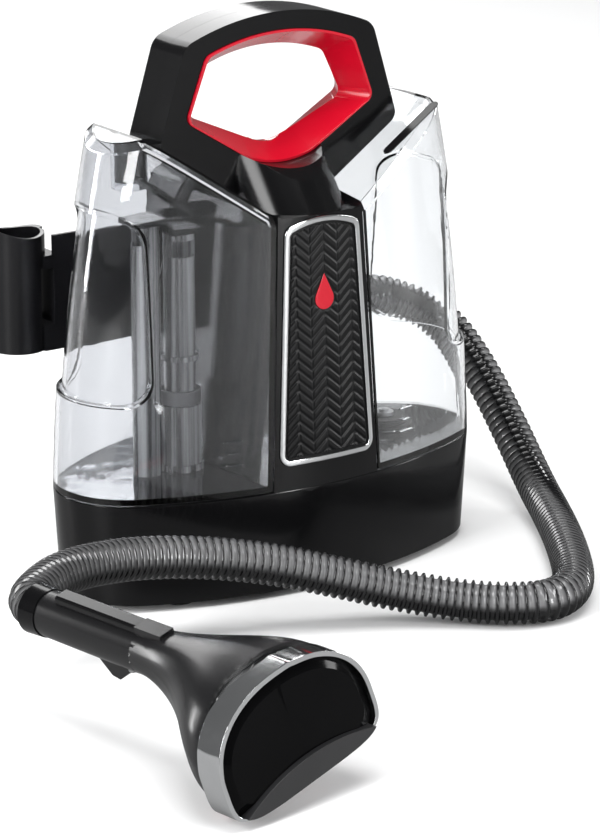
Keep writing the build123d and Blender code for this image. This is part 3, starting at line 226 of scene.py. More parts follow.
# ---------------------------------------------------------------- finishes
@dataclass(frozen=True)
class Moulded:
    """Opaque moulded plastic or rubber: fine mould grain, handling smudges, slight colour drift."""

    name: str
    colour: Colour
    roughness: float
    grain: float = 900.0
    grain_depth: float = 0.00002
    smudge: float = 0.06
    drift: float = 0.25
    coat: float = 0.0
    specular: float = 0.5

    def make(self) -> bpy.types.Material:
        """Builds the material.

        Returns:
            The finished material.
        """
        sheet = PaintSheet(self.name)
        smudges = sheet.noise(14.0, 4.0)
        fine = sheet.noise(self.grain, 2.0)
        light = tuple(min(1.0, c * (1 + self.drift) + 0.002) for c in self.colour)
        dark = tuple(c * (1 - self.drift) for c in self.colour)
        rough = self.roughness + (smudges - 0.5) * (2 * self.smudge) + (fine - 0.5) * self.smudge
        sheet.set(
            Base_Color=sheet.blend(smudges, dark, light),
            Roughness=rough.held(),
            Normal=sheet.relief(fine, self.grain_depth),
            Coat_Weight=self.coat,
            Coat_Roughness=0.04,
            Specular_IOR_Level=self.specular,
        )
        return sheet.material


@dataclass(frozen=True)
class ClearMoulding:
    """Clear moulded plastic with a faint tint, flow ripples, fingertip haze and optional painted
    highlight streaks.
    """

    name: str
    colour: Colour
    roughness: float = 0.02
    haze: float = 0.05
    refraction: float = 1.46
    milk: float = 0.0
    # Strength of the painted highlight streaks: upright light and dark bands in the base colour that
    # stand for lamp reflections; 0 gives none.
    painted_highlight_streaks: float = 0.0

    def make(self) -> bpy.types.Material:
        """Builds the material.

        Returns:
            The finished material.
        """
        sheet = PaintSheet(self.name)
        ripples = sheet.noise(24.0, 2.0, (1.0, 1.0, 0.35))
        haze = sheet.noise(60.0, 5.0)
        # Painted highlight streaks: this upright-stretched noise blends the base colour between a
        # dark and a bright tone, standing in for reflections of the lamps.
        lines = sheet.noise(230.0, 2.0, (1.0, 1.0, 0.01))
        dark = tuple(c * (1 - self.painted_highlight_streaks) for c in self.colour)
        sheet.set(
            Base_Color=sheet.blend(((lines - 0.4) * 5.0).held(), dark, self.colour),
            Roughness=(self.roughness + self.haze * haze ** 3.0).held(),
            Normal=sheet.relief(ripples, 0.0002),
            Transmission_Weight=1.0 - self.milk,
            IOR=self.refraction,
        )
        return sheet.material


class Lay(Enum):
    """Direction of the fine lines that polishing or drawing leaves in metal."""

    NONE = (1.0, 1.0, 1.0)
    UPRIGHT = (1.0, 1.0, 0.03)
    ALONG_Y = (1.0, 0.03, 1.0)


@dataclass(frozen=True)
class Metal:
    """Plated, brushed or wound metal."""

    name: str
    colour: Colour
    roughness: float
    lay: Lay = Lay.NONE
    lines: float = 700.0
    line_depth: float = 0.00001

    def make(self) -> bpy.types.Material:
        """Builds the material.

        Returns:
            The finished material.
        """
        sheet = PaintSheet(self.name)
        lines = sheet.noise(self.lines, 3.0, self.lay.value)
        wear = sheet.noise(30.0, 5.0)
        dull = tuple(c * 0.8 for c in self.colour)
        sheet.set(
            Base_Color=sheet.blend(wear, dull, self.colour),
            Metallic=1.0,
            Roughness=(self.roughness + (lines - 0.4) * self.roughness + wear * 0.04).held(),
            Normal=sheet.relief(lines, self.line_depth),
        )
        return sheet.material


@dataclass(frozen=True)
class RibbedVinyl:
    """Ribbed hose wall: dark glossy ribs, smoky film between them, and a dark band: the feed line
    inside, widened into painted shade of the dark bore seen through the film.
    """

    name: str = "hose_vinyl"
    rib: Colour = (0.003, 0.003, 0.0035)
    film: Colour = (0.27, 0.27, 0.275)
    # Dark band colour: the feed line inside plus painted shade of the dark bore seen through the
    # film.
    line: Colour = (0.004, 0.004, 0.0045)

    def make(self) -> bpy.types.Material:
        """Builds the material.

        Returns:
            The finished material.
        """
        sheet = PaintSheet(self.name)
        crest = sheet.node("ShaderNodeAttribute", {"attribute_name": "crest"}, output="Fac")
        # Share of the dark band: partly the feed line, partly painted shade.
        line_and_shade_share = sheet.node("ShaderNodeAttribute", {"attribute_name": "feed_line_and_shade"}, output="Fac")
        cloud = sheet.noise(90.0, 3.0)
        film = sheet.blend(cloud, tuple(0.6 * c for c in self.film), self.film)
        between = sheet.blend(line_and_shade_share, film, self.line)
        sheet.set(
            Base_Color=sheet.blend(crest, between, self.rib),
            Roughness=(0.13 - 0.05 * crest + 0.06 * cloud).held(),
            Normal=sheet.relief(sheet.noise(500.0, 2.0), 0.00002),
        )
        return sheet.material


GLOSS_BLACK = Moulded(
    "housing_gloss",
    (0.002, 0.002, 0.0023),
    roughness=0.14, grain=700.0, grain_depth=0.000006, smudge=0.03, drift=0.2, specular=0.26,
)
SATIN_BLACK = Moulded(
    "grip_satin",
    (0.005, 0.005, 0.0055),
    roughness=0.24, grain=1400.0, grain_depth=0.00001, smudge=0.04, specular=0.42,
)
HOLDER_BLACK = Moulded(
    "holder_satin",
    (0.005, 0.005, 0.006),
    roughness=0.24, grain=1100.0, grain_depth=0.00001, smudge=0.05, specular=0.35,
)
INNER_BLACK = Moulded(
    "inner_moulding",
    (0.012, 0.012, 0.013),
    roughness=0.48, grain=1100.0, grain_depth=0.00003, specular=0.35,
)
BADGE_BLACK = Moulded(
    "badge_texture",
    (0.002, 0.002, 0.0023),
    roughness=0.3, grain=1500.0, grain_depth=0.00001, smudge=0.04, specular=0.2,
)
WINDOW_BLACK = Moulded(
    "window_gloss",
    (0.001, 0.001, 0.0012),
    roughness=0.09, grain=500.0, grain_depth=0.000003, smudge=0.02, drift=0.2, specular=0.1,
)
LIP_GREY = Moulded(
    "lip_satin",
    (0.012, 0.012, 0.013),
    roughness=0.34, grain=1200.0, smudge=0.05, specular=0.4,
)
LINER_RED = Moulded(
    "liner_gloss",
    (0.44, 0.002, 0.014),
    roughness=0.15, grain=600.0, grain_depth=0.000005, smudge=0.03, drift=0.08, coat=0.2,
    specular=0.45,
)
BRISTLE_RED = Moulded(
    "bristle_nylon",
    (0.56, 0.004, 0.018),
    roughness=0.35, grain=2500.0, grain_depth=0.00001, smudge=0.05, drift=0.2,
)
RUBBER = Moulded(
    "soft_rubber",
    (0.009, 0.009, 0.009),
    roughness=0.6, grain=1600.0, grain_depth=0.00004, smudge=0.08, specular=0.35,
)
FOAM_GREY = Moulded(
    "float_foam",
    (0.16, 0.16, 0.165),
    roughness=0.6, grain=2200.0, grain_depth=0.00008, smudge=0.05, drift=0.1,
)
NYLON_GREY = Moulded(
    "pump_nylon",
    (0.05, 0.052, 0.058),
    roughness=0.45, grain=1300.0, grain_depth=0.00003,
)
CLEAR_SMOKE = ClearMoulding("tank_smoke", (0.76, 0.77, 0.79))
# Stack tubes: milky clear, with painted highlight streaks in the colour.
TUBE_SMOKE = ClearMoulding("stack_smoke", (0.92, 0.92, 0.93), roughness=0.05, milk=0.4, painted_highlight_streaks=0.75)
CLEAR_WATER = ClearMoulding("tank_clear", (0.88, 0.89, 0.90), roughness=0.015, haze=0.03)
BRIGHT_PLATE = Metal(
    "bright_plate",
    (0.82, 0.83, 0.84),
    roughness=0.07, lines=300.0, line_depth=0.000004,
)
STEEL = Metal("plain_steel", (0.55, 0.55, 0.56), roughness=0.28, lay=Lay.ALONG_Y)
ZINC = Metal("zinc_plate", (0.42, 0.43, 0.44), roughness=0.4, lay=Lay.UPRIGHT)
COPPER = Metal(
    "copper_winding",
    (0.72, 0.34, 0.16),
    roughness=0.3, lay=Lay.UPRIGHT, lines=1500.0, line_depth=0.00006,
)
HOSE_VINYL = RibbedVinyl()
Finish = Moulded | ClearMoulding | Metal | RibbedVinyl


class Paintbox:
    """Makes each finish once."""

    def __init__(self) -> None:
        """Starts empty."""
        self._made: dict[str, bpy.types.Material] = {}

    def get(self, finish: Finish) -> bpy.types.Material:
        """The material of a finish."""
        if finish.name not in self._made:
            self._made[finish.name] = finish.make()
        return self._made[finish.name]


PAINT = Paintbox()


# ---------------------------------------------------------------- mesh helpers
def paint(piece: bpy.types.Object, finish: Finish) -> None:
    """Gives a piece one material."""
    piece.data.materials.clear()
    piece.data.materials.append(PAINT.get(finish))


def soften(piece: bpy.types.Object, width: float, segments: int = 2, angle: float = 32.0) -> None:
    """Rounds the outer edges of a moulded piece.

    Args:
        piece: The object.
        width: Width of the rounding, in metres.
        segments: Facets across it.
        angle: Edges sharper than this many degrees are rounded.
    """
    weld = piece.modifiers.new("weld", "WELD")
    weld.merge_threshold = 0.000002
    bevel = piece.modifiers.new("edge", "BEVEL")
    bevel.width = width
    bevel.segments = segments
    bevel.limit_method = "ANGLE"
    bevel.angle_limit = math.radians(angle)
    bevel.use_clamp_overlap = True
    bevel.harden_normals = False
    normals = piece.modifiers.new("normals", "WEIGHTED_NORMAL")
    normals.weight = 60
    normals.keep_sharp = True


def smooth(piece: bpy.types.Object) -> None:
    """Sets smooth shading on every face."""
    piece.data.polygons.foreach_set("use_smooth", [True] * len(piece.data.polygons))


def from_lists(
    name: str,
    points: Sequence[Vector],
    faces: Sequence[Sequence[int]],
    attributes: Mapping[str, Sequence[float]] | None = None,
) -> bpy.types.Object:
    """Makes a mesh object.

    Args:
        name: Name of the piece.
        points: Vertices, in metres.
        faces: Vertex numbers of each face.
        attributes: Point attributes for the finish to read.

    Returns:
        The linked object, with outward normals.
    """
    mesh = bpy.data.meshes.new(name)
    mesh.from_pydata([tuple(p) for p in points], [], [tuple(f) for f in faces])
    for key, values in (attributes or {}).items():
        mesh.attributes.new(key, "FLOAT", "POINT").data.foreach_set("value", list(values))
    work = bmesh.new()
    work.from_mesh(mesh)
    bmesh.ops.recalc_face_normals(work, faces=work.faces)
    work.to_mesh(mesh)
    work.free()
    piece = bpy.data.objects.new(name, mesh)
    bpy.context.scene.collection.objects.link(piece)
    smooth(piece)
    return piece


def surface_of(node: str) -> BVHTree:
    """A search tree of a CAD node's surface."""
    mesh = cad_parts[node].data
    points = [v.co.copy() for v in mesh.vertices]
    return BVHTree.FromPolygons(points, [tuple(p.vertices) for p in mesh.polygons])


def ease(low: float, high: float, value: float) -> float:
    """Smooth step from 0 at low to 1 at high."""
    share = min(1.0, max(0.0, (value - low) / (high - low)))
    return share * share * (3 - 2 * share)


class Assembly:
    """Common ways to dress the CAD nodes of a sub-assembly."""

    def dress(self, finish: Finish, nodes: Iterable[str], edge: float = 0.0) -> None:
        """Paints CAD nodes and rounds their edges.

        Args:
            finish: What they are made of.
            nodes: Their names.
            edge: Width of the edge rounding, in metres; none if 0.
        """
        for name in nodes:
            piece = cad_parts[name]
            paint(piece, finish)
            if edge:
                soften(piece, edge)
            LOG.info("%s: %s", name, finish.name)

    def add(self, piece: bpy.types.Object, body: str, slot: str, finish: Finish) -> None:
        """Paints a new piece and hangs it on its body."""
        paint(piece, finish)
        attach(piece, body)
        LOG.info("%s: %s, on %s", piece.name, finish.name, body)


# ---------------------------------------------------------------- sub-assemblies
@dataclass
class Tower(Assembly):
    """Housing with its loop handle, liner, rear fittings and badge."""

    weave_step: float = 0.0005
    weave_pitch: float = 0.0062
    weave_period: float = 0.0195
    weave_slope: float = 0.85
    weave_rise: float = 0.00045
    weave_lift: float = 0.0001
    weave_backing: float = 0.0006
    weave_seam: float = 0.0009
    weave_margin: float = 0.0012

    def build(self) -> None:
        """Dresses the tower and adds the badge's weave."""
        self.dress(GLOSS_BLACK, ("housing_front", "housing_rear"), 0.0007)
        self.dress(GLOSS_BLACK, ("switch_frame", "power_rocker"), 0.0004)
        self.dress(LINER_RED, ("handle_liner",), 0.0008)
        self.dress(LINER_RED, ("badge_mark",), 0.0003)
        self.dress(BRIGHT_PLATE, ("bezel",), 0.0005)
        self.dress(BADGE_BLACK, ("badge_panel",))
        self.dress(HOLDER_BLACK, ("tool_holder",), 0.0006)
        self.dress(SATIN_BLACK, ("hose_port", "cord_gland"), 0.0004)
        self.dress(RUBBER, ("hose_cuff",), 0.0005)
        self.add(self.weave(), "machine", "badge_black", BADGE_BLACK)

    def ridge(self, x: float, z: float) -> float:
        """Height of the chevron ridges at a place, as a share of their rise."""
        fold = abs((x / self.weave_period) % 1.0 - 0.5) * self.weave_period
        phase = ((z - fold * self.weave_slope) / self.weave_pitch) % 1.0
        valley = self.weave_period / 2 - fold
        seam = ease(0.0, self.weave_seam, fold) * ease(0.0, self.weave_seam, valley)
        return seam * ease(0.04, 0.2, phase) * (1 - ease(0.72, 0.88, phase))

    def weave(self) -> bpy.types.Object:
        """The badge's raised chevrons, laid on the panel's face.

        Returns:
            The closed relief.
        """
        panel = surface_of("badge_panel")
        mark = surface_of("badge_mark")
        low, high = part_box("badge_panel")
        start = low.y - RAY_RUN_UP
        columns = int((high.x - low.x) / self.weave_step)
        rows = int((high.z - low.z) / self.weave_step)
        numbers: dict[tuple[int, int], int] = {}
        points: list[Vector] = []
        for row in range(rows + 1):
            for column in range(columns + 1):
                x = low.x + column * self.weave_step
                z = low.z + row * self.weave_step
                hit = panel.ray_cast(Vector((x, start, z)), FORWARD)[0]
                if hit is None or not self.inside(panel, x, z, start):
                    continue
                numbers[column, row] = len(points)
                rise = 0.0 if self.covered(mark, x, z, start) else self.ridge(x, z)
                points.append(Vector((x, hit.y - self.weave_lift - self.weave_rise * rise, z)))
        faces = []
        for column, row in numbers:
            ring = [(column, row), (column + 1, row), (column + 1, row + 1), (column, row + 1)]
            if all(key in numbers for key in ring):
                faces.append([numbers[key] for key in ring])
        piece = from_lists("badge_weave", points, faces)
        if piece.data.polygons[0].normal.y > 0:
            piece.data.flip_normals()
        solid = piece.modifiers.new("backing", "SOLIDIFY")
        solid.thickness = self.weave_backing
        solid.offset = -1
        return piece

    def covered(self, mark: BVHTree, x: float, z: float, start: float) -> bool:
        """Whether a place is under the mark or within the margin of it."""
        for dx, dz in ((0, 0), (1, 0), (-1, 0), (0, 1), (0, -1)):
            at = Vector((x + dx * self.weave_margin, start, z + dz * self.weave_margin))
            if mark.ray_cast(at, FORWARD)[0] is not None:
                return True
        return False

    def inside(self, panel: BVHTree, x: float, z: float, start: float) -> bool:
        """Whether a place is on the panel with the margin all round."""
        for dx, dz in ((1, 0), (-1, 0), (0, 1), (0, -1)):
            at = Vector((x + dx * self.weave_margin, start, z + dz * self.weave_margin))
            if panel.ray_cast(at, FORWARD)[0] is None:
                return False
        return True


@dataclass
class Base(Assembly):
    """Tub, plate, deck, feet and screws."""

    def build(self) -> None:
        """Dresses the base."""
        self.dress(GLOSS_BLACK, ("base_tub",), 0.0008)
        self.dress(INNER_BLACK, ("base_plate", "deck", "air_duct", "clean_seat"), 0.0005)
        self.dress(RUBBER, ("rubber_feet", "stack_gasket"), 0.0005)
        self.dress(STEEL, ("base_screws",))


@dataclass
class Workings(Assembly):
    """Motor, fan and pump inside the tower and base."""

    def build(self) -> None:
        """Dresses the hidden machinery."""
        self.dress(INNER_BLACK, ("fan_housing", "fan_wheel", "pump_feed"))
        self.dress(ZINC, ("motor_can",))
        self.dress(STEEL, ("motor_bearings", "motor_stator", "motor_rotor", "pump_piston"))
        self.dress(RUBBER, ("motor_cushion",))
        self.dress(NYLON_GREY, ("pump_body",))
        self.dress(COPPER, ("pump_coil",))


@dataclass
class Tanks(Assembly):
    """Recovery tank with its stack, and clean-water tank with its valve."""

    mark_heights: tuple[float, ...] = (0.086, 0.093, 0.100)
    mark_x: float = -0.062
    mark_half_width: float = 0.006
    mark_rise: float = 0.0006
    mark_root: float = 0.0003
    mark_thickness: float = 0.0009
    mark_steps: int = 8
    short_mark: float = 0.6

    def build(self) -> None:
        """Dresses both tanks and adds the level marks."""
        self.dress(CLEAR_SMOKE, ("dirty_tank",))
        self.dress(TUBE_SMOKE, ("stack_tube", "inlet_tube", "stack_base"))
        self.dress(CLEAR_WATER, ("clean_tank",))
        self.dress(SATIN_BLACK, ("stack_cap", "splash_baffle", "tank_strip"), 0.0004)
        self.dress(RUBBER, ("drain_plug",), 0.0005)
        self.dress(FOAM_GREY, ("float_ring",), 0.0006)
        self.dress(INNER_BLACK, ("valve_cap",), 0.0005)
        self.dress(STEEL, ("valve_plunger",))
        recovery = self.level_marks("recovery_marks", "dirty_tank", self.mark_x)
        self.add(recovery, "recovery_tank", "smoke_clear", CLEAR_SMOKE)
        water = self.level_marks("water_marks", "clean_tank", -self.mark_x)
        self.add(water, "water_tank", "clear", CLEAR_WATER)

    def level_marks(self, name: str, node: str, centre: float) -> bpy.types.Object:
        """Raised level lines moulded on a tank's front.

        Args:
            name: Name of the piece.
            node: The tank they stand on.
            centre: Their middle across the tank.

        Returns:
            The marks as closed bars that follow the wall.
        """
        wall = surface_of(node)
        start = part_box(node)[0].y - RAY_RUN_UP
        points: list[Vector] = []
        faces: list[list[int]] = []
        steps = self.mark_steps
        for number, height in enumerate(self.mark_heights):
            half = self.mark_half_width * (1.0 if number % 2 == 0 else self.short_mark)
            first = len(points)
            for step in range(steps + 1):
                x = centre + half * (2 * step / steps - 1)
                for dz in (-self.mark_thickness / 2, self.mark_thickness / 2):
                    hit = wall.ray_cast(Vector((x, start, height + dz)), FORWARD)[0]
                    points.append(hit + Vector((0, -self.mark_rise, 0)))
                    points.append(hit + Vector((0, self.mark_root, 0)))
            for step in range(steps):
                a, b = first + 4 * step, first + 4 * (step + 1)
                for i, j in ((0, 2), (2, 3), (3, 1), (1, 0)):
                    faces.append([a + i, a + j, b + j, b + i])
            last = first + 4 * steps
            faces.append([first, first + 1, first + 3, first + 2])
            faces.append([last, last + 2, last + 3, last + 1])
        return from_lists(name, points, faces)


@dataclass
class HandTool(Assembly):
    """Grip with its trigger, and the wide nozzle with its brush."""

    corner: tuple[float, float, float] = (-0.1897, -0.3241, 0.0145)
    yaw: float = 10.0
    roll: float = -14.7
    brush_top: float = 0.0045
    bristle: float = 0.0065
    brush_half_width: float = 0.044
    brush_end: float = 0.0034
    row_depths: tuple[float, ...] = (0.0202, 0.0258)
    tufts: int = 15
    filaments: int = 13
    tuft_radius: float = 0.0017
    filament_radius: float = 0.00022
    rooted: float = 0.0004
    fanning: float = 0.18
    golden_angle: float = 2.39996

    def build(self) -> None:
        """Dresses the tool and adds its bristles."""
        self.dress(SATIN_BLACK, ("grip_left", "grip_right", "trigger", "release_button"), 0.0005)
        self.dress(SATIN_BLACK, ("tool_hood",), 0.0007)
        self.dress(GLOSS_BLACK, ("ridge_cover", "grip_collar"), 0.0005)
        self.dress(BRIGHT_PLATE, ("tool_band",), 0.0004)
        self.dress(WINDOW_BLACK, ("tool_window",), 0.0006)
        self.dress(LIP_GREY, ("tool_lip",), 0.0005)
        self.dress(INNER_BLACK, ("brush_base", "spray_tip", "spray_valve"), 0.0003)
        self.dress(STEEL, ("spray_plunger", "trigger_pin"))
        bristles = self.bristles()
        self.add(bristles, "tool", "red_bristle", BRISTLE_RED)
        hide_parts("brush_tufts")

    def place(self) -> Matrix:
        """Where the tool lies in the machine's frame."""
        yaw = Matrix.Rotation(math.radians(self.yaw), 4, "Z")
        roll = Matrix.Rotation(math.radians(self.roll), 4, "Y")
        return Matrix.Translation(Vector(self.corner)) @ yaw @ roll

    def bristles(self) -> bpy.types.Object:
        """Bristles as fine tapered filaments that fan a little in each tuft.

        Returns:
            All bristles as one mesh.
        """
        place = self.place()
        points: list[Vector] = []
        faces: list[list[int]] = []
        for y in self.row_depths:
            for tuft in range(self.tufts):
                x = (2 * tuft / (self.tufts - 1) - 1) * (self.brush_half_width - self.brush_end)
                for number in range(self.filaments):
                    angle = number * self.golden_angle + tuft
                    reach = self.tuft_radius * 0.8 * math.sqrt(number / self.filaments)
                    out = Vector((math.cos(angle), math.sin(angle), 0)) * reach
                    foot = Vector((x, y, self.brush_top + self.rooted)) + out
                    fan = out * self.fanning
                    tip = foot + fan - Vector((0, 0, self.bristle))
                    self.filament(place, foot, tip, points, faces)
        return from_lists("brush_bristles", points, faces)

    def filament(
        self, place: Matrix, foot: Vector, tip: Vector, points: list[Vector], faces: list[list[int]]
    ) -> None:
        """Adds one tapered filament to the lists of points and faces."""
        first = len(points)
        sides = 5
        for centre, radius in ((foot, self.filament_radius), (tip, self.filament_radius * 0.55)):
            for side in range(sides):
                angle = 2 * math.pi * side / sides
                offset = Vector((math.cos(angle), math.sin(angle), 0)) * radius
                points.append(place @ (centre + offset))
        for side in range(sides):
            after = (side + 1) % sides
            faces.append([first + side, first + after, first + sides + after, first + sides + side])
        faces.append([first + side for side in range(sides)])
        faces.append([first + sides + side for side in range(sides)])


@dataclass
class SuctionHose(Assembly):
    """Ribbed hose from the rear port round the front to the grip."""

    diameter: float = 0.025
    length: float = 0.844
    root_radius: float = 0.0102
    crest_radius: float = 0.0125
    pitch: float = 0.0050
    squeezed_pitch: float = 0.0038
    squeezed_from: float = 0.70
    stations_per_rib: int = 9
    around: int = 30
    # The dark band's angle round the wall at each end of its wander, and the run over which it turns;
    # the band is the feed line inside, made wide and turned to face the camera as painted shade of
    # the bore seen through the film.
    dark_band_angles: tuple[float, float] = (-0.5, -2.78)
    dark_band_wanders: tuple[float, float] = (0.22, 0.46)
    route: tuple[tuple[float, float, float], ...] = (
        (0.074, 0.092, 0.121), (0.122, 0.110, 0.125), (0.172, 0.107, 0.117), (0.197, 0.083, 0.102),
        (0.201, 0.048, 0.074), (0.199, 0.014, 0.044), (0.191, -0.024, 0.017), (0.170, -0.068, 0.0127),
        (0.142, -0.116, 0.0127), (0.114, -0.158, 0.0127), (0.095, -0.178, 0.0127),
        (0.073, -0.186, 0.0127),
        (0.051, -0.176, 0.0127), (0.030, -0.157, 0.0132), (-0.001, -0.136, 0.020),
        (-0.032, -0.121, 0.030), (-0.070, -0.106, 0.042), (-0.110, -0.095, 0.0505),
        (-0.149, -0.091, 0.0565), (-0.183, -0.093, 0.0595),
        (-0.205, -0.099, 0.060), (-0.219, -0.1065, 0.059), (-0.2295, -0.1135, 0.0575),
        (-0.2352, -0.1200, 0.0564), (-0.235349, -0.128048, 0.056093),
    )

    def build(self) -> None:
        line = self.centre_line()
        tube = self.ribbed_tube(line)
        self.add(tube, "machine", "hose_black", HOSE_VINYL)
        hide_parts("hose")

    def centre_line(self) -> list[Vector]:
        """Points along the smooth spline that the route controls.

        Returns:
            The points in order, close together.
        """
        curve = bpy.data.curves.new("hose_line", "CURVE")
        curve.dimensions = "3D"
        spline = curve.splines.new("NURBS")
        spline.points.add(len(self.route) - 1)
        for point, place in zip(spline.points, self.route):
            point.co = (*place, 1.0)
        spline.order_u = 3
        spline.use_endpoint_u = True
        spline.resolution_u = 24
        holder = bpy.data.objects.new("hose_line", curve)
        bpy.context.scene.collection.objects.link(holder)
        graph = bpy.context.evaluated_depsgraph_get()
        mesh = bpy.data.meshes.new_from_object(holder.evaluated_get(graph))
        line = [v.co.copy() for v in mesh.vertices]
        bpy.data.objects.remove(holder)
        return line

    def pitch_at(self, run: float) -> float:
        """Rib pitch at a distance along the hose; ribs close up towards the grip."""
        share = ease(self.squeezed_from, self.squeezed_from + 0.05, run)
        return self.pitch + (self.squeezed_pitch - self.pitch) * share

    def ribbed_tube(self, line: Sequence[Vector]) -> bpy.types.Object:
        """Sweeps the ribbed section along the line.

        Args:
            line: The centre line.

        Returns:
            The closed hose wall.
        """
        places, tangents, phases = self.stations(line)
        side = tangents[0].cross(Vector((0, 0, 1))).normalized()
        points: list[Vector] = []
        crest: list[float] = []
        line_and_shade_share: list[float] = []
        first, last = self.dark_band_angles
        run = 0.0
        for number, (place, tangent, phase) in enumerate(zip(places, tangents, phases)):
            run += (place - places[max(number - 1, 0)]).length
            turned = first + (last - first) * ease(*self.dark_band_wanders, run)
            side = (side - tangent * side.dot(tangent)).normalized()
            other = tangent.cross(side)
            rise = self.rib(phase % 1.0)
            radius = self.root_radius + (self.crest_radius - self.root_radius) * rise
            for turn in range(self.around):
                angle = 2 * math.pi * turn / self.around
                points.append(place + (side * math.cos(angle) + other * math.sin(angle)) * radius)
                crest.append(rise)
                # Dark band share round the wall: feed line plus painted shade.
                off = abs((angle - turned + math.pi) % (2 * math.pi) - math.pi)
                line_and_shade_share.append(1 - ease(0.35, 0.75, off))
        faces = []
        count = len(places)
        for ring in range(count - 1):
            for number in range(self.around):
                after = (number + 1) % self.around
                low, high = ring * self.around, (ring + 1) * self.around
                faces.append([low + number, low + after, high + after, high + number])
        faces.append(list(range(self.around)))
        faces.append(list(range((count - 1) * self.around, count * self.around)))
        return from_lists("ribbed_hose", points, faces, {"crest": crest, "feed_line_and_shade": line_and_shade_share})

    def stations(self, line: Sequence[Vector]) -> tuple[list[Vector], list[Vector], list[float]]:
        """Places along the line at even parts of each rib.

        Args:
            line: The centre line.

        Returns:
            Places, unit tangents and rib phases.
        """
        runs = [0.0]
        for a, b in zip(line, line[1:]):
            runs.append(runs[-1] + (b - a).length)
        places: list[Vector] = []
        tangents: list[Vector] = []
        phases: list[float] = []
        run, phase, piece = 0.0, 0.0, 0
        while run < runs[-1]:
            while runs[piece + 1] < run:
                piece += 1
            share = (run - runs[piece]) / (runs[piece + 1] - runs[piece])
            places.append(line[piece].lerp(line[piece + 1], share))
            after = line[min(piece + 2, len(line) - 1)] - line[piece]
            before = line[piece + 1] - line[piece - 1] if piece else after
            tangents.append(before.lerp(after, share).normalized())
            phases.append(phase)
            phase += 1 / self.stations_per_rib
            run += self.pitch_at(run) / self.stations_per_rib
        return places, tangents, phases

    @staticmethod
    def rib(phase: float) -> float:
        """Height of a rib over one pitch, from 0 in the film to 1 on the crest."""
        return ease(0.0, 0.22, phase) * (1 - ease(0.4, 0.62, phase))


# ---------------------------------------------------------------- studio
@dataclass(frozen=True)
class SoftLight:
    """One rectangular soft light, aimed at the machine."""

    name: str
    place: Colour
    width: float
    height: float
    power: float

    def hang(self, target: Vector) -> None:
        """Hangs the light and aims it."""
        data = bpy.data.lights.new(self.name, "AREA")
        data.shape = "RECTANGLE"
        data.size = self.width
        data.size_y = self.height
        data.energy = self.power
        lamp = bpy.data.objects.new(self.name, data)
        bpy.context.scene.collection.objects.link(lamp)
        lamp.location = self.place
        lamp.rotation_mode = "QUATERNION"
        lamp.rotation_quaternion = (target - Vector(self.place)).to_track_quat("-Z", "Y")


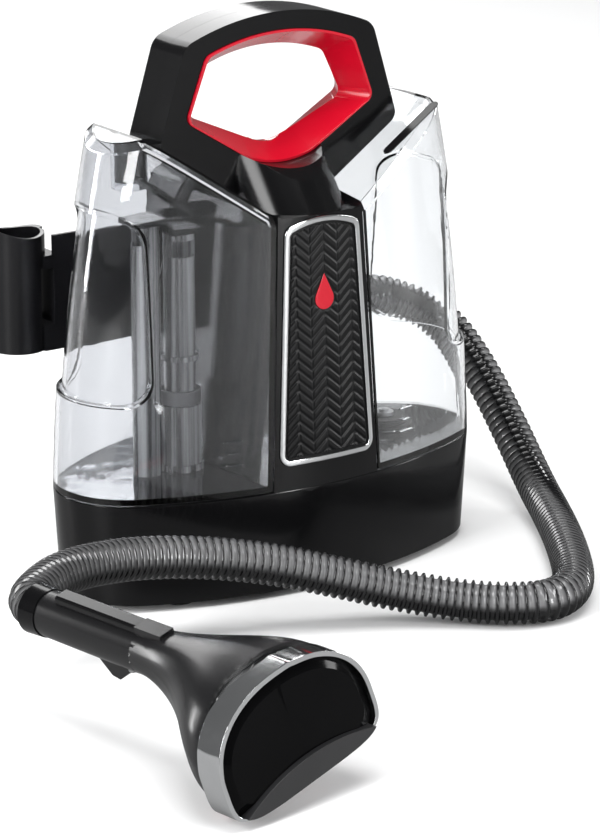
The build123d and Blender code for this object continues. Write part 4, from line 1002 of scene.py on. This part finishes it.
@dataclass
class Studio:
    """Pale floor, soft lights and camera; floor and sky are dimmer in reflections."""

    target: Colour = (-0.018549, -0.055524, 0.110676)
    azimuth: float = -34.529
    elevation: float = 17.189
    distance: float = 2.009834
    lens: float = 147.296
    shift_x: float = 0.00959
    shift_y: float = -0.00916
    floor_half: float = 12.0
    floor_drop: float = 0.0002
    floor_colour: Colour = (0.86, 0.86, 0.86)
    sky: Colour = (0.93, 0.94, 0.95)
    sky_seen: float = 1.05
    sky_light: float = 0.42
    sky_mirrored: float = 0.16
    floor_mirrored: float = 0.3
    lights: tuple[SoftLight, ...] = field(
        default_factory=lambda: (
            SoftLight("front_strip", (0.85, -2.2, 0.4), 0.22, 1.3, 26.0),
            SoftLight("key_left", (-2.0, -0.5, 1.1), 0.6, 1.6, 44.0),
            SoftLight("top", (-0.1, -0.5, 2.4), 1.4, 1.2, 42.0),
            SoftLight("strip_right", (2.0, -1.1, 0.8), 0.3, 1.6, 22.0),
            SoftLight("rim_left", (-1.62, 1.55, 0.42), 0.22, 1.0, 18.0),
            SoftLight("rear_wash", (0.4, 2.0, 1.3), 1.8, 1.0, 26.0),
        )
    )

    def build(self) -> None:
        """Sets up the studio."""
        self.floor()
        self.world()
        for light in self.lights:
            light.hang(Vector((0.0, -0.03, 0.15)))
        self.camera()
        scene = bpy.context.scene
        scene.view_settings.view_transform = "Standard"
        scene.view_settings.look = "None"

    def floor(self) -> None:
        """Lays the floor."""
        half = self.floor_half
        around = ((-half, -half), (half, -half), (half, half), (-half, half))
        corners = [Vector((x, y, -self.floor_drop)) for x, y in around]
        plane = from_lists("studio_floor", corners, [[0, 1, 2, 3]])
        sheet = PaintSheet("studio_floor")
        cloud = sheet.noise(2.0, 3.0)
        dim = tuple(0.99 * c for c in self.floor_colour)
        dark = tuple(self.floor_mirrored * c for c in self.floor_colour)
        clouded = sheet.blend(cloud, dim, self.floor_colour)
        through = sheet.node("ShaderNodeLightPath", output="Is Transmission Ray")
        glossy = sheet.node("ShaderNodeLightPath", output="Is Glossy Ray")
        mirrored = glossy * (1 - through)
        sheet.set(Base_Color=sheet.blend(mirrored, clouded, dark), Roughness=0.55)
        plane.data.materials.append(sheet.material)

    def world(self) -> None:
        """Fills the studio with even light."""
        world = bpy.data.worlds.new("studio")
        world.use_nodes = True
        sheet = NodeSheet(world.node_tree)
        background = world.node_tree.nodes["Background"]
        seen = sheet.node("ShaderNodeLightPath", output="Is Camera Ray")
        through = sheet.node("ShaderNodeLightPath", output="Is Transmission Ray")
        glossy = sheet.node("ShaderNodeLightPath", output="Is Glossy Ray")
        unseen = self.sky_light - (self.sky_light - self.sky_mirrored) * glossy
        strength = unseen + (self.sky_seen - unseen) * (seen + through).held()
        sheet.feed(background.inputs["Color"], (*self.sky, 1.0))
        sheet.feed(background.inputs["Strength"], strength)
        bpy.context.scene.world = world

    def camera(self) -> None:
        """Sets the camera."""
        a, e = math.radians(self.azimuth), math.radians(self.elevation)
        back = Vector((math.sin(a) * math.cos(e), -math.cos(a) * math.cos(e), math.sin(e)))
        data = bpy.data.cameras.new("camera")
        data.lens = self.lens
        data.sensor_width = 36.0
        data.shift_x = self.shift_x
        data.shift_y = self.shift_y
        camera = bpy.data.objects.new("camera", data)
        bpy.context.scene.collection.objects.link(camera)
        camera.location = Vector(self.target) + back * self.distance
        camera.rotation_mode = "QUATERNION"
        camera.rotation_quaternion = (-back).to_track_quat("-Z", "Y")
        bpy.context.scene.camera = camera


def main() -> None:
    """Builds the looks in order and keeps the sizes."""
    logging.basicConfig(level=logging.INFO, format="%(name)s %(message)s")
    Studio().build()
    SuctionHose().build()
    for assembly in (Tower(), Base(), Workings(), Tanks(), HandTool()):
        assembly.build()
        LOG.info("%s done", type(assembly).__name__)


if __name__ == "__main__":
    main()
